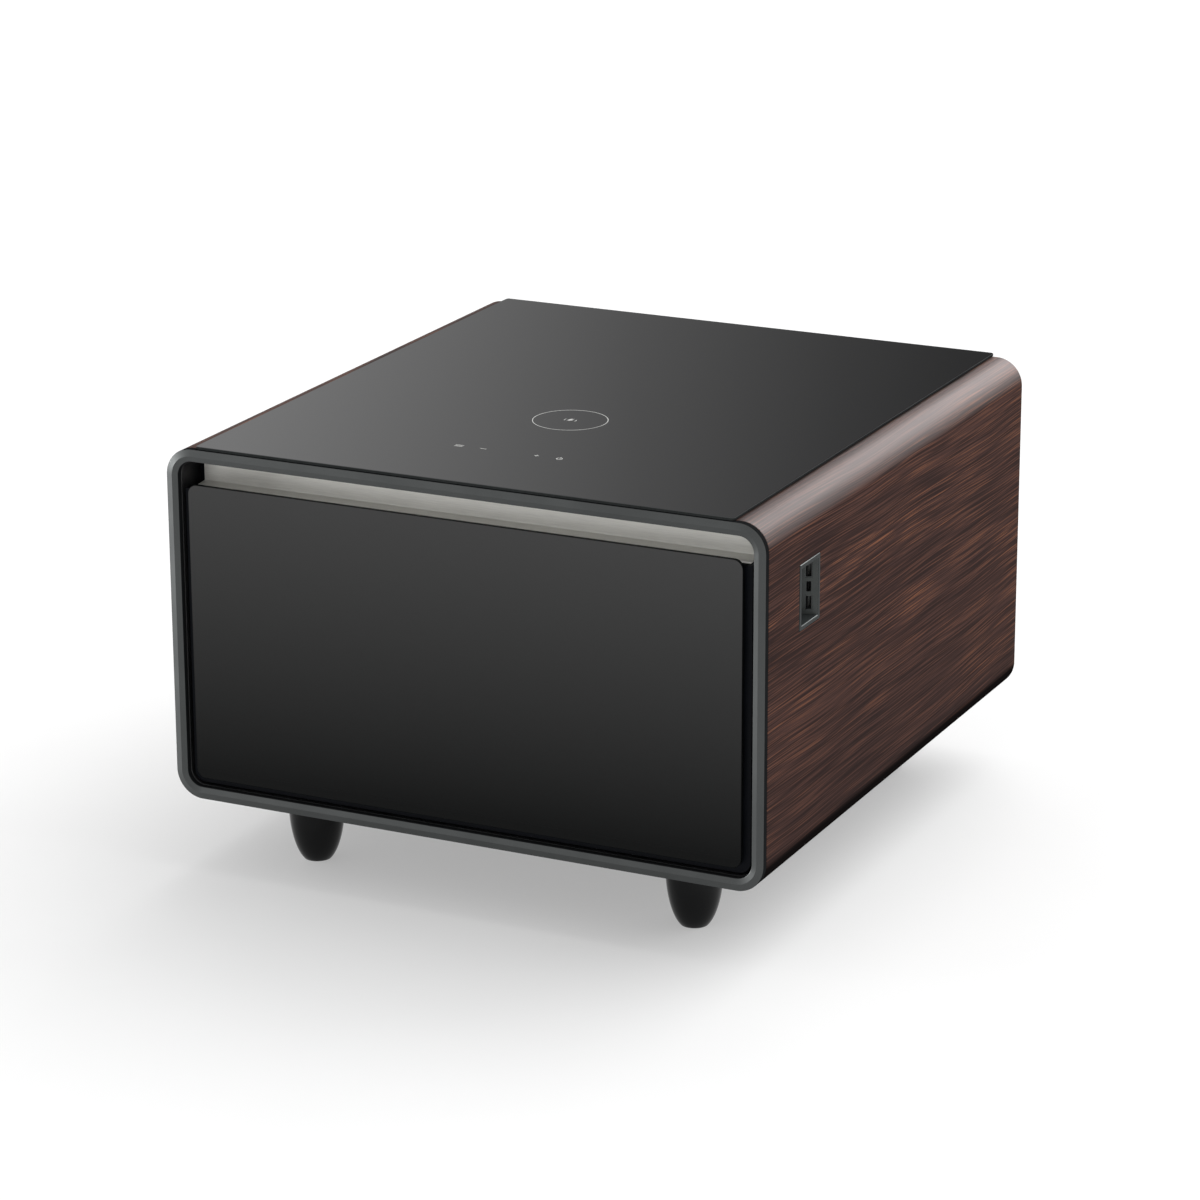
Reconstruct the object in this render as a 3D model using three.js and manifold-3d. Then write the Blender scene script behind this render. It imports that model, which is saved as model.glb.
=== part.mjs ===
// A refrigerator coffee table: one insulated drawer in a wood cabinet under a glass top.
// Millimetres, +Z up. The origin is on the floor, under the middle of the table. The drawer opens
// towards -Y. A depth is measured from the front of the bezel, and a height from the body's underside.

import * as THREE from 'three';
import { mergeVertices } from 'three/addons/utils/BufferGeometryUtils.js';
import Module from 'manifold-3d';

const wasm = await Module();
wasm.setup();

// Overall sizes
const WIDTH = 650;
const BODY_DEPTH = 680.4; // bezel front to the rear ends of the side panels
const BODY_HEIGHT = 368;
const LEG_HEIGHT = 80;
const FIT = 0.3; // gap between pieces that touch
const OVERRUN = 5; // a cutting tool runs this far past the face that it cuts

// Cabinet walls and bezel
const PANEL_WALL = 10;
const PANEL_RADIUS = 29;
const PANEL_LIP = 50; // flat return of a side panel along the top and the underside
const THROAT_WALL = 2.7;
const THROAT_DEPTH = 48;
const BEZEL_DEPTH = 8;
const BEZEL_FALL = 1.4; // the bezel's face falls away this much from its crest to both edges
const BEZEL_SEAM = 0.6;

// Glass top
const GLASS_WALL = 3;
const GLASS_LIFT = 0.4;
const GLASS_SIDE_INSET = 33.4;
const GLASS_FRONT_INSET = 2.5;
const GLASS_REAR_LAP = 0.3; // past the rear panel
const GLASS_RADIUS = 4;
const GLASS_ARRIS = 0.5;
const DECK_DROP = 2; // the deck lies this far under the tops of the side panels
const SEAL_WIDTH = 8;
const SEAL_INSET = 2;

// Electronics under the glass
const POCKET_DEPTH = 5;
const POCKET_MARGIN = 3;
const BOARD_WALL = 1.6;
const COIL_X = 1;
const COIL_DEPTH = 248; // from the bezel front to the middle of the charging ring
const COIL_RADIUS = 25;
const COIL_HOLE_RADIUS = 10;
const COIL_WALL = 2.5;
const CHARGER_BOARD_LENGTH = 44;
const CHARGER_BOARD_WIDTH = 32;
const TOUCH_DEPTH = 116; // from the bezel front to the row of touch keys
const TOUCH_BOARD_LENGTH = 164;
const TOUCH_BOARD_WIDTH = 24;
const RIBBON_X = 70;
const RIBBON_WIDTH = 14;
const RIBBON_WALL = 0.8;

// Legs
const LEG_RADIUS = 29;
const LEG_SOLE_RADIUS = 9;
const LEG_CURVED_HEIGHT = 62; // the round stretch from the sole up
const LEG_FULLNESS_POWER = 0.42;
const LEG_SIDE_INSET = 112;
const LEG_END_INSET = 89;
const LEG_STUD_RADIUS = 5;
const LEG_STUD_LENGTH = 8;

// Insulation and liner
const FOAM_WALL = 29;
const FOAM_REAR_WALL = 40;
const LINER_WALL = 2;
const LINER_RADIUS = 12;
const MACHINE_DEPTH = 156; // the compartment behind the insulation
const BULKHEAD_WALL = 1.5;

// Drawer front
const DOOR_SIDE_GAP = 4;
const DOOR_BOTTOM_GAP = 3;
const DOOR_TOP_GAP = 2;
const DOOR_GLASS_SETBACK = 2;
const DOOR_GLASS_WALL = 4;
const DOOR_GLASS_ARRIS = 0.4;
const DOOR_GLASS_RADIUS = 10;
const DOOR_GLASS_INSET = 6.8; // inside the sides and the foot of the door frame
const PULL_GAP = 23.4; // from the top of the opening down to the door glass
const PLATEAU_HEIGHT = 3; // the pad on the frame that carries the glass
const PLATEAU_INSET = 5;
const FRAME_DEPTH = 37;
const FRAME_WALL = 2.5;
const FRAME_LIP_WALL = 2; // between the glass and the finger groove
const GROOVE_WIDTH = 8.7;
const GROOVE_DEPTH = 13.4; // below the ledge
const LEDGE_RUN = 2.5; // the groove's rear side leans back this much
const LEDGE_DROP = 5; // from the top of the glass to the ledge
const LEDGE_RISE = 1.5; // the ledge climbs this much towards the strip
const STRIP_BACKING = 6.8; // frame behind the upright strip
const CHANNEL_WALL = 1.2;
const CHANNEL_END_INSET = 5;
const DOOR_PANEL_WALL = 2;
const DOOR_PANEL_INSET = 6;
const PLINTH_HEIGHT = 5.4;
const PLINTH_CLEARANCE = 6;
const PLINTH_RADIUS = 10;
const GASKET_LAP = 3;
const GASKET_WIDTH = 12;

// Drawer bin and runners
const RUNNER_SPACE = 13;
const RUNNER_HEIGHT = 45;
const RUNNER_WALL = 1.5;
const RUNNER_PLAY = 0.5;
const RUNNER_LIP = 10;
const RUNNER_LEVEL = 92; // from the liner's floor to the middle of the runners
const RUNNER_REAR_GAP = 12;
const BIN_WALL = 2.5;
const BIN_TOP_GAP = 61.8; // under the liner's ceiling
const BIN_RADIUS = 14;
const BIN_FLOOR_GAP = 8;
const BIN_REAR_GAP = 6;
const BIN_RIM_WIDTH = 2.5;
const BIN_RIM_HEIGHT = 4;
const DIVIDER_WALL = 2;
const DIVIDER_DROP = 30; // below the bin's rim
const DIVIDER_PLACE_SHARE = 0.6;

// Evaporator and lamp
const EVAPORATOR_LAP = 31; // past the suction line
const EVAPORATOR_WALL = 1.5;
const EVAPORATOR_TUBE_RADIUS = 4;
const EVAPORATOR_MARGIN = 16;
const EVAPORATOR_TOP_GAP = 30.4;
const EVAPORATOR_BOTTOM_GAP = 62.4;
const EVAPORATOR_ROWS = 5;
const SUCTION_ROW = 3;
const CAPILLARY_ROW = 4;
const LAMP_LENGTH = 70;
const LAMP_WIDTH = 14;
const LAMP_WALL = 5;
const LAMP_SETBACK = 24; // behind the liner's flange

// Port module in the right side panel
const PORT_DEPTH = 126.4; // from the bezel front to the rear edge of the pocket
const PORT_DROP = 94; // from the top of the body to the middle of the ports
const PORT_TURN = THREE.MathUtils.degToRad(26.6); // the port panel faces this far off the front
const PORT_PANEL_WIDTH = 18;
const PORT_HEIGHT = 57;
const PORT_RIM_WIDTH = 4.6;
const PORT_RIM_SINK = 1.2;
const PORT_RIM_PROUD = 0.3;
const PORT_WALL = 1.5;
const PORT_SKIN = 4; // panel left outside the pocket for the sockets' rear ends
const PORT_REAR_ROOM = 7;
const PORT_PITCH = 16.3;
const PORT_NOTCH_DEPTH = 22;
const PORT_NOTCH_MARGIN = 16;
const USB_A_LENGTH = 14.4;
const USB_A_WALL = 6.6;
const USB_A_REACH = 14;
const USB_A_SHELL = 0.5;
const USB_C_LENGTH = 9.2;
const USB_C_WALL = 3.5;
const USB_C_REACH = 8;
const USB_C_SHELL = 0.35;
const USB_RECESS = 0.4;
const USB_BOARD_INNER = 9;
const USB_BOARD_OUTER = 2.5;

// Rear panel, screws and power inlet
const REAR_PANEL_WALL = 2;
const REAR_PANEL_INSET = 3;
const VENT_LENGTH = 84;
const VENT_HEIGHT = 5;
const VENT_PITCH = 11;
const VENT_ROWS = 8;
const INTAKE_LEVEL = 210; // above the base panel
const SCREW_HEAD_RADIUS = 4;
const SCREW_RADIUS = 2;
const SCREW_LENGTH = 18;
const SCREW_SIDES = 8;
const SCREW_PLACE_SHARE = 0.15; // up from the foot and down from the top of the body
const INLET_PLACE_SHARE = -0.127;
const INLET_LEVEL = 60; // above the base panel
const INLET_WIDTH = 28;
const INLET_HEIGHT = 20;
const INLET_REACH = 25;
const INLET_WALL = 2;
const INLET_FLANGE = 8;
const INLET_FLANGE_WALL = 2;
const INLET_CAVITY_DEPTH = 17;
const PIN_WIDTH = 2;
const PIN_HEIGHT = 4;
const PIN_LENGTH = 15;
const PIN_PITCH = 7;
const PIN_RAISE = 3;

// Compressor
const COMPRESSOR_PLACE_SHARE = -0.54; // of the way from the middle to the side panels
const COMPRESSOR_RADIUS = 58;
const COMPRESSOR_HEIGHT = 120;
const COMPRESSOR_PROFILE_SHARES = [[0.75, 0], [1, 0.18], [1, 0.55], [0.86, 0.82], [0.5, 0.97]];
const FOOT_PLATE_LENGTH = 150;
const FOOT_PLATE_WIDTH = 104;
const FOOT_PLATE_WALL = 3;
const DAMPER_RADIUS = 8;
const DAMPER_HEIGHT = 8;
const DAMPER_INSET = 12;
const DAMPER_MAT_WALL = 2;
const MOUNT_MARGIN = 10;
const MOUNT_WALL = 2;
const TERMINAL_BOX = 34;
const STUB_RADIUS = 4;
const STUB_RISE = 18; // above the top of the compressor
const STUB_PLACE_SHARE = 0.5;

// Condenser and fan
const CONDENSER_PLACE_SHARE = 0.413;
const CONDENSER_WIDTH = 200;
const CONDENSER_TOP_GAP = 52; // under the control box
const CONDENSER_WALL = 40;
const CONDENSER_STANDOFF = 12;
const CONDENSER_FOOT = 8;
const CONDENSER_FINS = 9;
const FIN_WALL = 1;
const COIL_PASSES = 4;
const COIL_TUBE_RADIUS = 4;
const COIL_STUB = 12;
const FAN_RADIUS = 33;
const FAN_TIP_GAP = 2;
const SHROUD_WALL = 2;
const SHROUD_DEPTH = 36;
const STRUT_WIDTH = 7;
const STRUT_WALL = 3;
const STRUT_COUNT = 3;
const MOTOR_RADIUS = 13;
const MOTOR_LENGTH = 12;
const SHAFT_RADIUS = 1.5;
const SHAFT_LENGTH = 9;
const HUB_LENGTH = 14;
const BLADE_COUNT = 5;
const BLADE_CHORD = 14;
const BLADE_WALL = 1.6;
const BLADE_PITCH = THREE.MathUtils.degToRad(35);

// Refrigerant lines, drier, control box and harness
const LINE_RADIUS = 4;
const LINE_BEND_RADIUS = 14;
const CAPILLARY_RADIUS = 1.6;
const DISCHARGE_RISE = 24;
const DISCHARGE_INSET = 15; // from the condenser's side to the falling stretch of the discharge line
const DRIER_INSET = 45;
const DRIER_RADIUS = 8;
const DRIER_LENGTH = 84;
const DRIER_LEVEL = 84; // above the base panel
const DRIER_PROFILE_SHARES = [[0.45, 0], [0.45, 0.1], [1, 0.25], [1, 0.75], [0.45, 0.9], [0.45, 1]];
const CONTROL_LENGTH = 140;
const CONTROL_HEIGHT = 90;
const CONTROL_DEPTH = 44;
const CONTROL_DROP = 48; // under the top deck
const CONTROL_ARRIS = 2;
const HARNESS_RADIUS = 3;

// Facets
const CORNER_STEPS = 6;
const SMALL_STEPS = 3;
const ROUND_SIDES = 20;
const TUBE_SIDES = 8;
const LEG_STEPS = 8;
const BEND_STEPS = 4;

// Places that many pieces share
const halfWidth = WIDTH / 2;
const overallDepth = BODY_DEPTH + FIT + REAR_PANEL_WALL + GLASS_REAR_LAP;
const front = -overallDepth / 2;
const rear = front + BODY_DEPTH;
const bodyBottom = LEG_HEIGHT;
const bodyTop = bodyBottom + BODY_HEIGHT;
const insideHalf = halfWidth - PANEL_WALL;
const insideBottom = bodyBottom + PANEL_WALL;
const insideTop = bodyTop - PANEL_WALL;
const insideRadius = PANEL_RADIUS - PANEL_WALL;
const bezelWidth = PANEL_WALL + FIT + THROAT_WALL;
const openingHalf = halfWidth - bezelWidth;
const openingBottom = bodyBottom + bezelWidth;
const openingTop = bodyTop - bezelWidth;
const openingRadius = PANEL_RADIUS - bezelWidth;
const panelFront = front + BEZEL_DEPTH + BEZEL_SEAM;
const throatRear = panelFront + THROAT_DEPTH;
const flangeFront = throatRear + FIT;
const flangeRear = flangeFront + LINER_WALL;
const bulkheadFront = rear - MACHINE_DEPTH;
const bulkheadRear = bulkheadFront + BULKHEAD_WALL;
const machineMid = (bulkheadRear + rear) / 2;
const linerRear = bulkheadFront - FIT - FOAM_REAR_WALL - FIT - LINER_WALL;
const linerHalf = insideHalf - FIT - FOAM_WALL - FIT - LINER_WALL;
const linerBottom = insideBottom + FIT + FOAM_WALL + FIT + LINER_WALL;
const linerTop = insideTop - FIT - FOAM_WALL - FIT - LINER_WALL;
const compressorX = COMPRESSOR_PLACE_SHARE * insideHalf;
const condenserX = CONDENSER_PLACE_SHARE * insideHalf;
const inletX = INLET_PLACE_SHARE * insideHalf;
const deckHalf = halfWidth - PANEL_LIP - FIT;
const deckTop = bodyTop - DECK_DROP;
const glassBottom = bodyTop + GLASS_LIFT;
const rearPanelFront = rear + FIT;
const rearPanelRear = rearPanelFront + REAR_PANEL_WALL;

// A closed solid from a geometry: shared corners are merged and empty triangles are dropped.
function solidOf(geometry) {
  const plain = geometry.index ? geometry.toNonIndexed() : geometry.clone();
  plain.deleteAttribute('normal');
  plain.deleteAttribute('uv');
  const merged = mergeVertices(plain);
  const corners = Array.from(merged.index.array);
  const kept = [];
  for (let i = 0; i < corners.length; i += 3) {
    const [a, b, c] = corners.slice(i, i + 3);
    if (a !== b && b !== c && c !== a) kept.push(a, b, c);
  }
  const vertProperties = new Float32Array(merged.attributes.position.array);
  return new wasm.Manifold(new wasm.Mesh({ numProp: 3, vertProperties, triVerts: new Uint32Array(kept) }));
}

function geometryOf(solid) {
  const mesh = solid.getMesh();
  const geometry = new THREE.BufferGeometry();
  geometry.setAttribute('position', new THREE.BufferAttribute(mesh.vertProperties.slice(), 3));
  geometry.setIndex(new THREE.BufferAttribute(mesh.triVerts.slice(), 1));
  geometry.computeVertexNormals();
  return geometry;
}

function cut(body, ...tools) {
  return geometryOf(tools.reduce((rest, tool) => rest.subtract(solidOf(tool)), solidOf(body)));
}

function join(first, ...others) {
  return geometryOf(others.reduce((whole, piece) => whole.add(solidOf(piece)), solidOf(first)));
}

// A block between two opposite corners, given as pairs along x, y and z.
function slab([x0, x1], [y0, y1], [z0, z1]) {
  const box = new THREE.BoxGeometry(Math.abs(x1 - x0), Math.abs(y1 - y0), Math.abs(z1 - z0));
  return box.translate((x0 + x1) / 2, (y0 + y1) / 2, (z0 + z1) / 2);
}

function outlineOf(points, holes = []) {
  const outline = new THREE.Shape(points.map(([a, b]) => new THREE.Vector2(a, b)));
  outline.holes = holes.map((hole) => new THREE.Path(hole.map(([a, b]) => new THREE.Vector2(a, b))));
  return outline;
}

// The four corners of a rounded rectangle: the arc's middle and its first angle.
function cornersOf([a0, a1], [b0, b1], radius) {
  return [
    [a1 - radius, b0 + radius, -Math.PI / 2],
    [a1 - radius, b1 - radius, 0],
    [a0 + radius, b1 - radius, Math.PI / 2],
    [a0 + radius, b0 + radius, Math.PI],
  ];
}

function arc(a, b, radius, start, sweep, steps) {
  const turns = Array.from({ length: steps + 1 }, (_, i) => start + (sweep * i) / steps);
  return turns.map((turn) => [a + radius * Math.cos(turn), b + radius * Math.sin(turn)]);
}

function rounded(across, up, radius, steps = CORNER_STEPS) {
  const corners = cornersOf(across, up, radius);
  return corners.flatMap(([a, b, start]) => arc(a, b, radius, start, Math.PI / 2, steps));
}

function extruded(outline, length, arris) {
  const bevel = { bevelThickness: arris, bevelSize: arris, bevelOffset: -arris, bevelSegments: 1 };
  const settings = { depth: length - 2 * arris, bevelEnabled: arris > 0, ...bevel };
  return new THREE.ExtrudeGeometry(outline, settings).translate(0, 0, arris);
}

// An outline in (y, z) carried along x.
function alongX(outline, [x0, x1], arris = 0) {
  const turn = new THREE.Matrix4();
  turn.makeBasis(new THREE.Vector3(0, 1, 0), new THREE.Vector3(0, 0, 1), new THREE.Vector3(1, 0, 0));
  return extruded(outline, x1 - x0, arris).applyMatrix4(turn).translate(x0, 0, 0);
}

// An outline in (x, z) carried along y.
function alongY(outline, [y0, y1], arris = 0) {
  return extruded(outline, y1 - y0, arris).rotateX(Math.PI / 2).translate(0, y1, 0);
}

// An outline in (x, y) carried along z.
function alongZ(outline, [z0, z1], arris = 0) {
  return extruded(outline, z1 - z0, arris).translate(0, 0, z0);
}

// A round solid about +Z from its [radius, height] points, which start and end on the axis.
function turned(profile, sides = ROUND_SIDES) {
  const points = profile.map(([radius, height]) => new THREE.Vector2(radius, height));
  return new THREE.LatheGeometry(points, sides).rotateX(Math.PI / 2);
}

function upright(radius, [z0, z1], sides = ROUND_SIDES) {
  return turned([[0, z0], [radius, z0], [radius, z1], [0, z1]], sides);
}

// A round bar along y about the line x = z = 0.
function crosswise(radius, [y0, y1], sides = ROUND_SIDES) {
  return upright(radius, [-y1, -y0], sides).rotateX(Math.PI / 2);
}

function sheetOutline(path, near, far) {
  const offset = (distance) => path.map((_, i) => offsetPoint(path, i, distance));
  return outlineOf([...offset(near), ...offset(far).reverse()]);
}

// A point of a path moved to its right by a distance, mitred where the path turns.
function offsetPoint(path, i, distance) {
  const before = path[Math.max(i - 1, 0)];
  const after = path[Math.min(i + 1, path.length - 1)];
  const here = new THREE.Vector2(...path[i]);
  const into = i > 0 ? here.clone().sub(new THREE.Vector2(...before)).normalize() : null;
  const out = i < path.length - 1 ? new THREE.Vector2(...after).sub(here).normalize() : null;
  const first = into ?? out;
  const second = out ?? into;
  const mitre = new THREE.Vector2(first.y + second.y, -first.x - second.x);
  const reach = (2 * distance) / mitre.lengthSq();
  return [here.x + mitre.x * reach, here.y + mitre.y * reach];
}

// A ring round a rounded rectangle in (x, z). Its profile points are [outwards, y].
function ringAround(across, up, radius, profile) {
  const stations = cornersOf(across, up, radius).flatMap(([x, z, start]) => {
    const turns = Array.from({ length: CORNER_STEPS + 1 }, (_, i) => start + (i * Math.PI) / 2 / CORNER_STEPS);
    return turns.map((turn) => [x, z, Math.cos(turn), Math.sin(turn)]);
  });
  const place = ([x, z, cos, sin], [out, y]) => [x + (radius + out) * cos, y, z + (radius + out) * sin];
  return closedGrid(stations.map((station) => profile.map((point) => place(station, point))), false);
}

// Triangles over rows of points. Rows close on themselves. The first and last row meet, or get caps.
function closedGrid(rows, capped) {
  const count = rows[0].length;
  const corners = [];
  const lastRow = capped ? rows.length - 1 : rows.length;
  for (let i = 0; i < lastRow; i += 1) {
    for (let j = 0; j < count; j += 1) {
      const a = i * count + j;
      const b = i * count + ((j + 1) % count);
      const c = ((i + 1) % rows.length) * count + j;
      const d = ((i + 1) % rows.length) * count + ((j + 1) % count);
      corners.push(a, c, b, b, c, d);
    }
  }
  const end = (rows.length - 1) * count;
  for (let j = 1; capped && j < count - 1; j += 1) corners.push(0, j, j + 1, end, end + j + 1, end + j);
  const geometry = new THREE.BufferGeometry();
  geometry.setAttribute('position', new THREE.Float32BufferAttribute(rows.flat(2), 3));
  geometry.setIndex(corners);
  return geometry;
}

// A route through corner points, with each corner rounded by an arc-like bend.
function route(points, bend = LINE_BEND_RADIUS) {
  const spots = points.map((point) => new THREE.Vector3(...point));
  const path = [spots[0]];
  for (let i = 1; i < spots.length - 1; i += 1) {
    const reach = Math.min(bend, spots[i].distanceTo(spots[i - 1]) / 2, spots[i].distanceTo(spots[i + 1]) / 2);
    const start = spots[i].clone().lerp(spots[i - 1], reach / spots[i].distanceTo(spots[i - 1]));
    const end = spots[i].clone().lerp(spots[i + 1], reach / spots[i].distanceTo(spots[i + 1]));
    path.push(...new THREE.QuadraticBezierCurve3(start, spots[i], end).getPoints(BEND_STEPS));
  }
  path.push(spots[spots.length - 1]);
  return path;
}

// A closed tube along a route: each ring stands square to the route and keeps its turn.
function tube(path, radius, sides = TUBE_SIDES) {
  const directionAt = (i) => {
    const before = path[Math.max(i - 1, 0)];
    const after = path[Math.min(i + 1, path.length - 1)];
    return after.clone().sub(before).normalize();
  };
  const first = directionAt(0);
  const helper = Math.abs(first.z) > Math.SQRT1_2 ? new THREE.Vector3(1, 0, 0) : new THREE.Vector3(0, 0, 1);
  let side = helper.cross(first).normalize();
  const rows = path.map((spot, i) => {
    const along = directionAt(i);
    side = side.clone().addScaledVector(along, -side.dot(along)).normalize();
    const across = along.clone().cross(side);
    return Array.from({ length: sides }, (_, j) => {
      const turn = (-2 * Math.PI * j) / sides;
      const point = spot.clone().addScaledVector(side, radius * Math.cos(turn));
      return point.addScaledVector(across, radius * Math.sin(turn)).toArray();
    });
  });
  return closedGrid(rows, true);
}

// Finishes
const finish = (color, roughness, metalness = 0) => new THREE.MeshStandardMaterial({ color, roughness, metalness });
const walnut = finish(0x46322d, 0.45);
const blackGlass = finish(0x2b2c2d, 0.08);
const bezelPaint = finish(0x474c4c, 0.45, 0.3);
const blackPlastic = finish(0x151617, 0.5);
const frameBlue = finish(0x10131a, 0.45);
const stainless = finish(0xb4b2aa, 0.35, 1);
const whitePlastic = finish(0xe6e8ea, 0.4);
const foamFinish = finish(0xe2d9b6, 0.9);
const rubber = finish(0x2a2b2c, 0.85);
const greyRubber = finish(0xb9bcbe, 0.8);
const zincSteel = finish(0xa9adb0, 0.4, 1);
const blackSteel = finish(0x1b1c1e, 0.5, 0.3);
const copper = finish(0xb87350, 0.35, 1);
const aluminium = finish(0xc6c9cc, 0.4, 1);
const legGloss = finish(0x0c0d0e, 0.15);
const rimMetal = finish(0x5b6062, 0.35, 0.8);
const boardGreen = finish(0x1f4b34, 0.6);
const lampFinish = finish(0xf4f3ea, 0.5);
const board = finish(0x2a2623, 0.7);

const cabinet = new THREE.Group();
const drawer = new THREE.Group();
const middleRunners = new THREE.Group();
const fan = new THREE.Group();

function add(group, name, geometry, material) {
  const mesh = new THREE.Mesh(geometryOf(solidOf(geometry)), material);
  mesh.name = name;
  group.add(mesh);
}

const sides = [['left', -1], ['right', 1]];
const fromSide = (side, inner, outer) => [side * inner, side * outer].sort((a, b) => a - b);

// Side panels: a flat side with a round return along the top and the underside.
function sidePanel(side) {
  const wrap = (radius, sweep) => {
    const x = halfWidth - PANEL_RADIUS;
    const top = arc(x, bodyTop - PANEL_RADIUS, radius, Math.PI / 2, -Math.PI / 2, CORNER_STEPS);
    const foot = arc(x, bodyBottom + PANEL_RADIUS, radius, 0, -Math.PI / 2, CORNER_STEPS);
    return sweep > 0 ? [...top, ...foot] : [...top, ...foot].reverse();
  };
  const lipEnd = halfWidth - PANEL_LIP;
  const outer = [[lipEnd, bodyTop], ...wrap(PANEL_RADIUS, 1), [lipEnd, bodyBottom]];
  const inner = [[lipEnd, insideBottom], ...wrap(insideRadius, -1), [lipEnd, insideTop]];
  const outline = outlineOf([...outer, ...inner].map(([x, z]) => [side * x, z]));
  return cut(alongY(outline, [panelFront, rear]), ...screwHoles());
}

// Rear panel screws: two in each side panel.
const screwX = halfWidth - PANEL_WALL / 2;
const screwRise = SCREW_PLACE_SHARE * BODY_HEIGHT;
const screwPlaces = [
  ['rear_screw_lower_left', -screwX, bodyBottom + screwRise],
  ['rear_screw_lower_right', screwX, bodyBottom + screwRise],
  ['rear_screw_upper_left', -screwX, bodyTop - screwRise],
  ['rear_screw_upper_right', screwX, bodyTop - screwRise],
];

function screwHoles() {
  const hole = () => crosswise(SCREW_RADIUS + FIT, [rear - SCREW_LENGTH - FIT, rear + OVERRUN], SCREW_SIDES);
  return screwPlaces.map(([, x, z]) => hole().translate(x, 0, z));
}

// A countersunk screw: its cone fills the hole in the rear panel with an even gap.
function screwProfile(gap, overrun) {
  const profile = [
    [0, rearPanelFront - SCREW_LENGTH],
    [SCREW_RADIUS + gap, rearPanelFront - SCREW_LENGTH],
    [SCREW_RADIUS + gap, rearPanelFront],
    [SCREW_HEAD_RADIUS - FIT + gap, rearPanelRear],
  ];
  if (overrun > 0) profile.push([SCREW_HEAD_RADIUS - FIT + gap, rearPanelRear + overrun]);
  profile.push([0, rearPanelRear + overrun]);
  return profile;
}

// A profile of [radius, y] turned about a line along y.
const turnedCrosswise = (profile, count) => {
  const flipped = profile.map(([radius, y]) => [radius, -y]).reverse();
  return turned(flipped, count).rotateX(Math.PI / 2);
};

function rearScrew(x, z) {
  return turnedCrosswise(screwProfile(0, 0), SCREW_SIDES).translate(x, 0, z);
}

function rearPanel() {
  const across = [REAR_PANEL_INSET - halfWidth, halfWidth - REAR_PANEL_INSET];
  const up = [bodyBottom + REAR_PANEL_INSET, bodyTop - REAR_PANEL_INSET];
  const outline = outlineOf(rounded(across, up, PANEL_RADIUS - REAR_PANEL_INSET));
  const sheet = alongY(outline, [rearPanelFront, rearPanelRear]);
  const through = [rearPanelFront - OVERRUN, rearPanelRear + OVERRUN];
  const slot = (x, z) => slab([x - VENT_LENGTH / 2, x + VENT_LENGTH / 2], through, [z, z + VENT_HEIGHT]);
  const grille = (x, middle) => {
    const first = middle - (VENT_PITCH * (VENT_ROWS - 1) + VENT_HEIGHT) / 2;
    return Array.from({ length: VENT_ROWS }, (_, i) => slot(x, first + i * VENT_PITCH));
  };
  const inletRun = around(inletX, INLET_WIDTH / 2 + FIT);
  const inletUp = [insideBottom + INLET_LEVEL - FIT, insideBottom + INLET_LEVEL + INLET_HEIGHT + FIT];
  const sinks = screwPlaces.map(([, x, z]) => {
    return turnedCrosswise(screwProfile(FIT, OVERRUN), SCREW_SIDES).translate(x, 0, z);
  });
  const exhaust = grille(condenserX, condenserMidLevel);
  const intake = grille(compressorX, insideBottom + INTAKE_LEVEL);
  return cut(sheet, ...exhaust, ...intake, slab(inletRun, through, inletUp), ...sinks);
}

// The right side panel is the left one mirrored, with the port module's cut-outs.
const portFace = halfWidth;
const portRearEdge = new THREE.Vector2(portFace, front + PORT_DEPTH);
const portAlong = new THREE.Vector2(Math.cos(PORT_TURN), Math.sin(PORT_TURN)); // along the port panel
const portPlug = new THREE.Vector2(-Math.sin(PORT_TURN), Math.cos(PORT_TURN)); // the way a plug goes in
const portLength = PORT_PANEL_WIDTH / Math.sin(PORT_TURN);
const portFrontEdge = portRearEdge.clone().sub(new THREE.Vector2(0, portLength));
const portCorner = portRearEdge.clone().addScaledVector(portAlong, -PORT_PANEL_WIDTH);
const portMid = portRearEdge.clone().addScaledVector(portAlong, -PORT_PANEL_WIDTH / 2);
const portHousingFront = portFrontEdge.y - PORT_WALL / Math.sin(PORT_TURN);
const portHousingRear = portRearEdge.y + PORT_WALL / Math.cos(PORT_TURN);
const portMidLevel = bodyTop - PORT_DROP;
const around = (middle, half) => [middle - half, middle + half];

function rightSidePanel() {
  const rimHalf = PORT_HEIGHT / 2 + PORT_RIM_WIDTH + FIT;
  const rimRun = [portFrontEdge.y - PORT_RIM_WIDTH - FIT, portRearEdge.y + PORT_RIM_WIDTH + FIT];
  const rimSink = slab([portFace - PORT_RIM_SINK - FIT, portFace + OVERRUN], rimRun, around(portMidLevel, rimHalf));
  const throughHalf = PORT_HEIGHT / 2 + PORT_WALL + FIT;
  const throughRun = [portHousingFront - FIT, portHousingRear + FIT];
  const through = slab([insideHalf - OVERRUN, portFace], throughRun, around(portMidLevel, throughHalf));
  const socketRun = [portRearEdge.y, portHousingRear + PORT_REAR_ROOM];
  const sockets = slab([insideHalf - OVERRUN, portFace - PORT_SKIN], socketRun, around(portMidLevel, throughHalf));
  return cut(sidePanel(1), rimSink, through, sockets);
}

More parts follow.
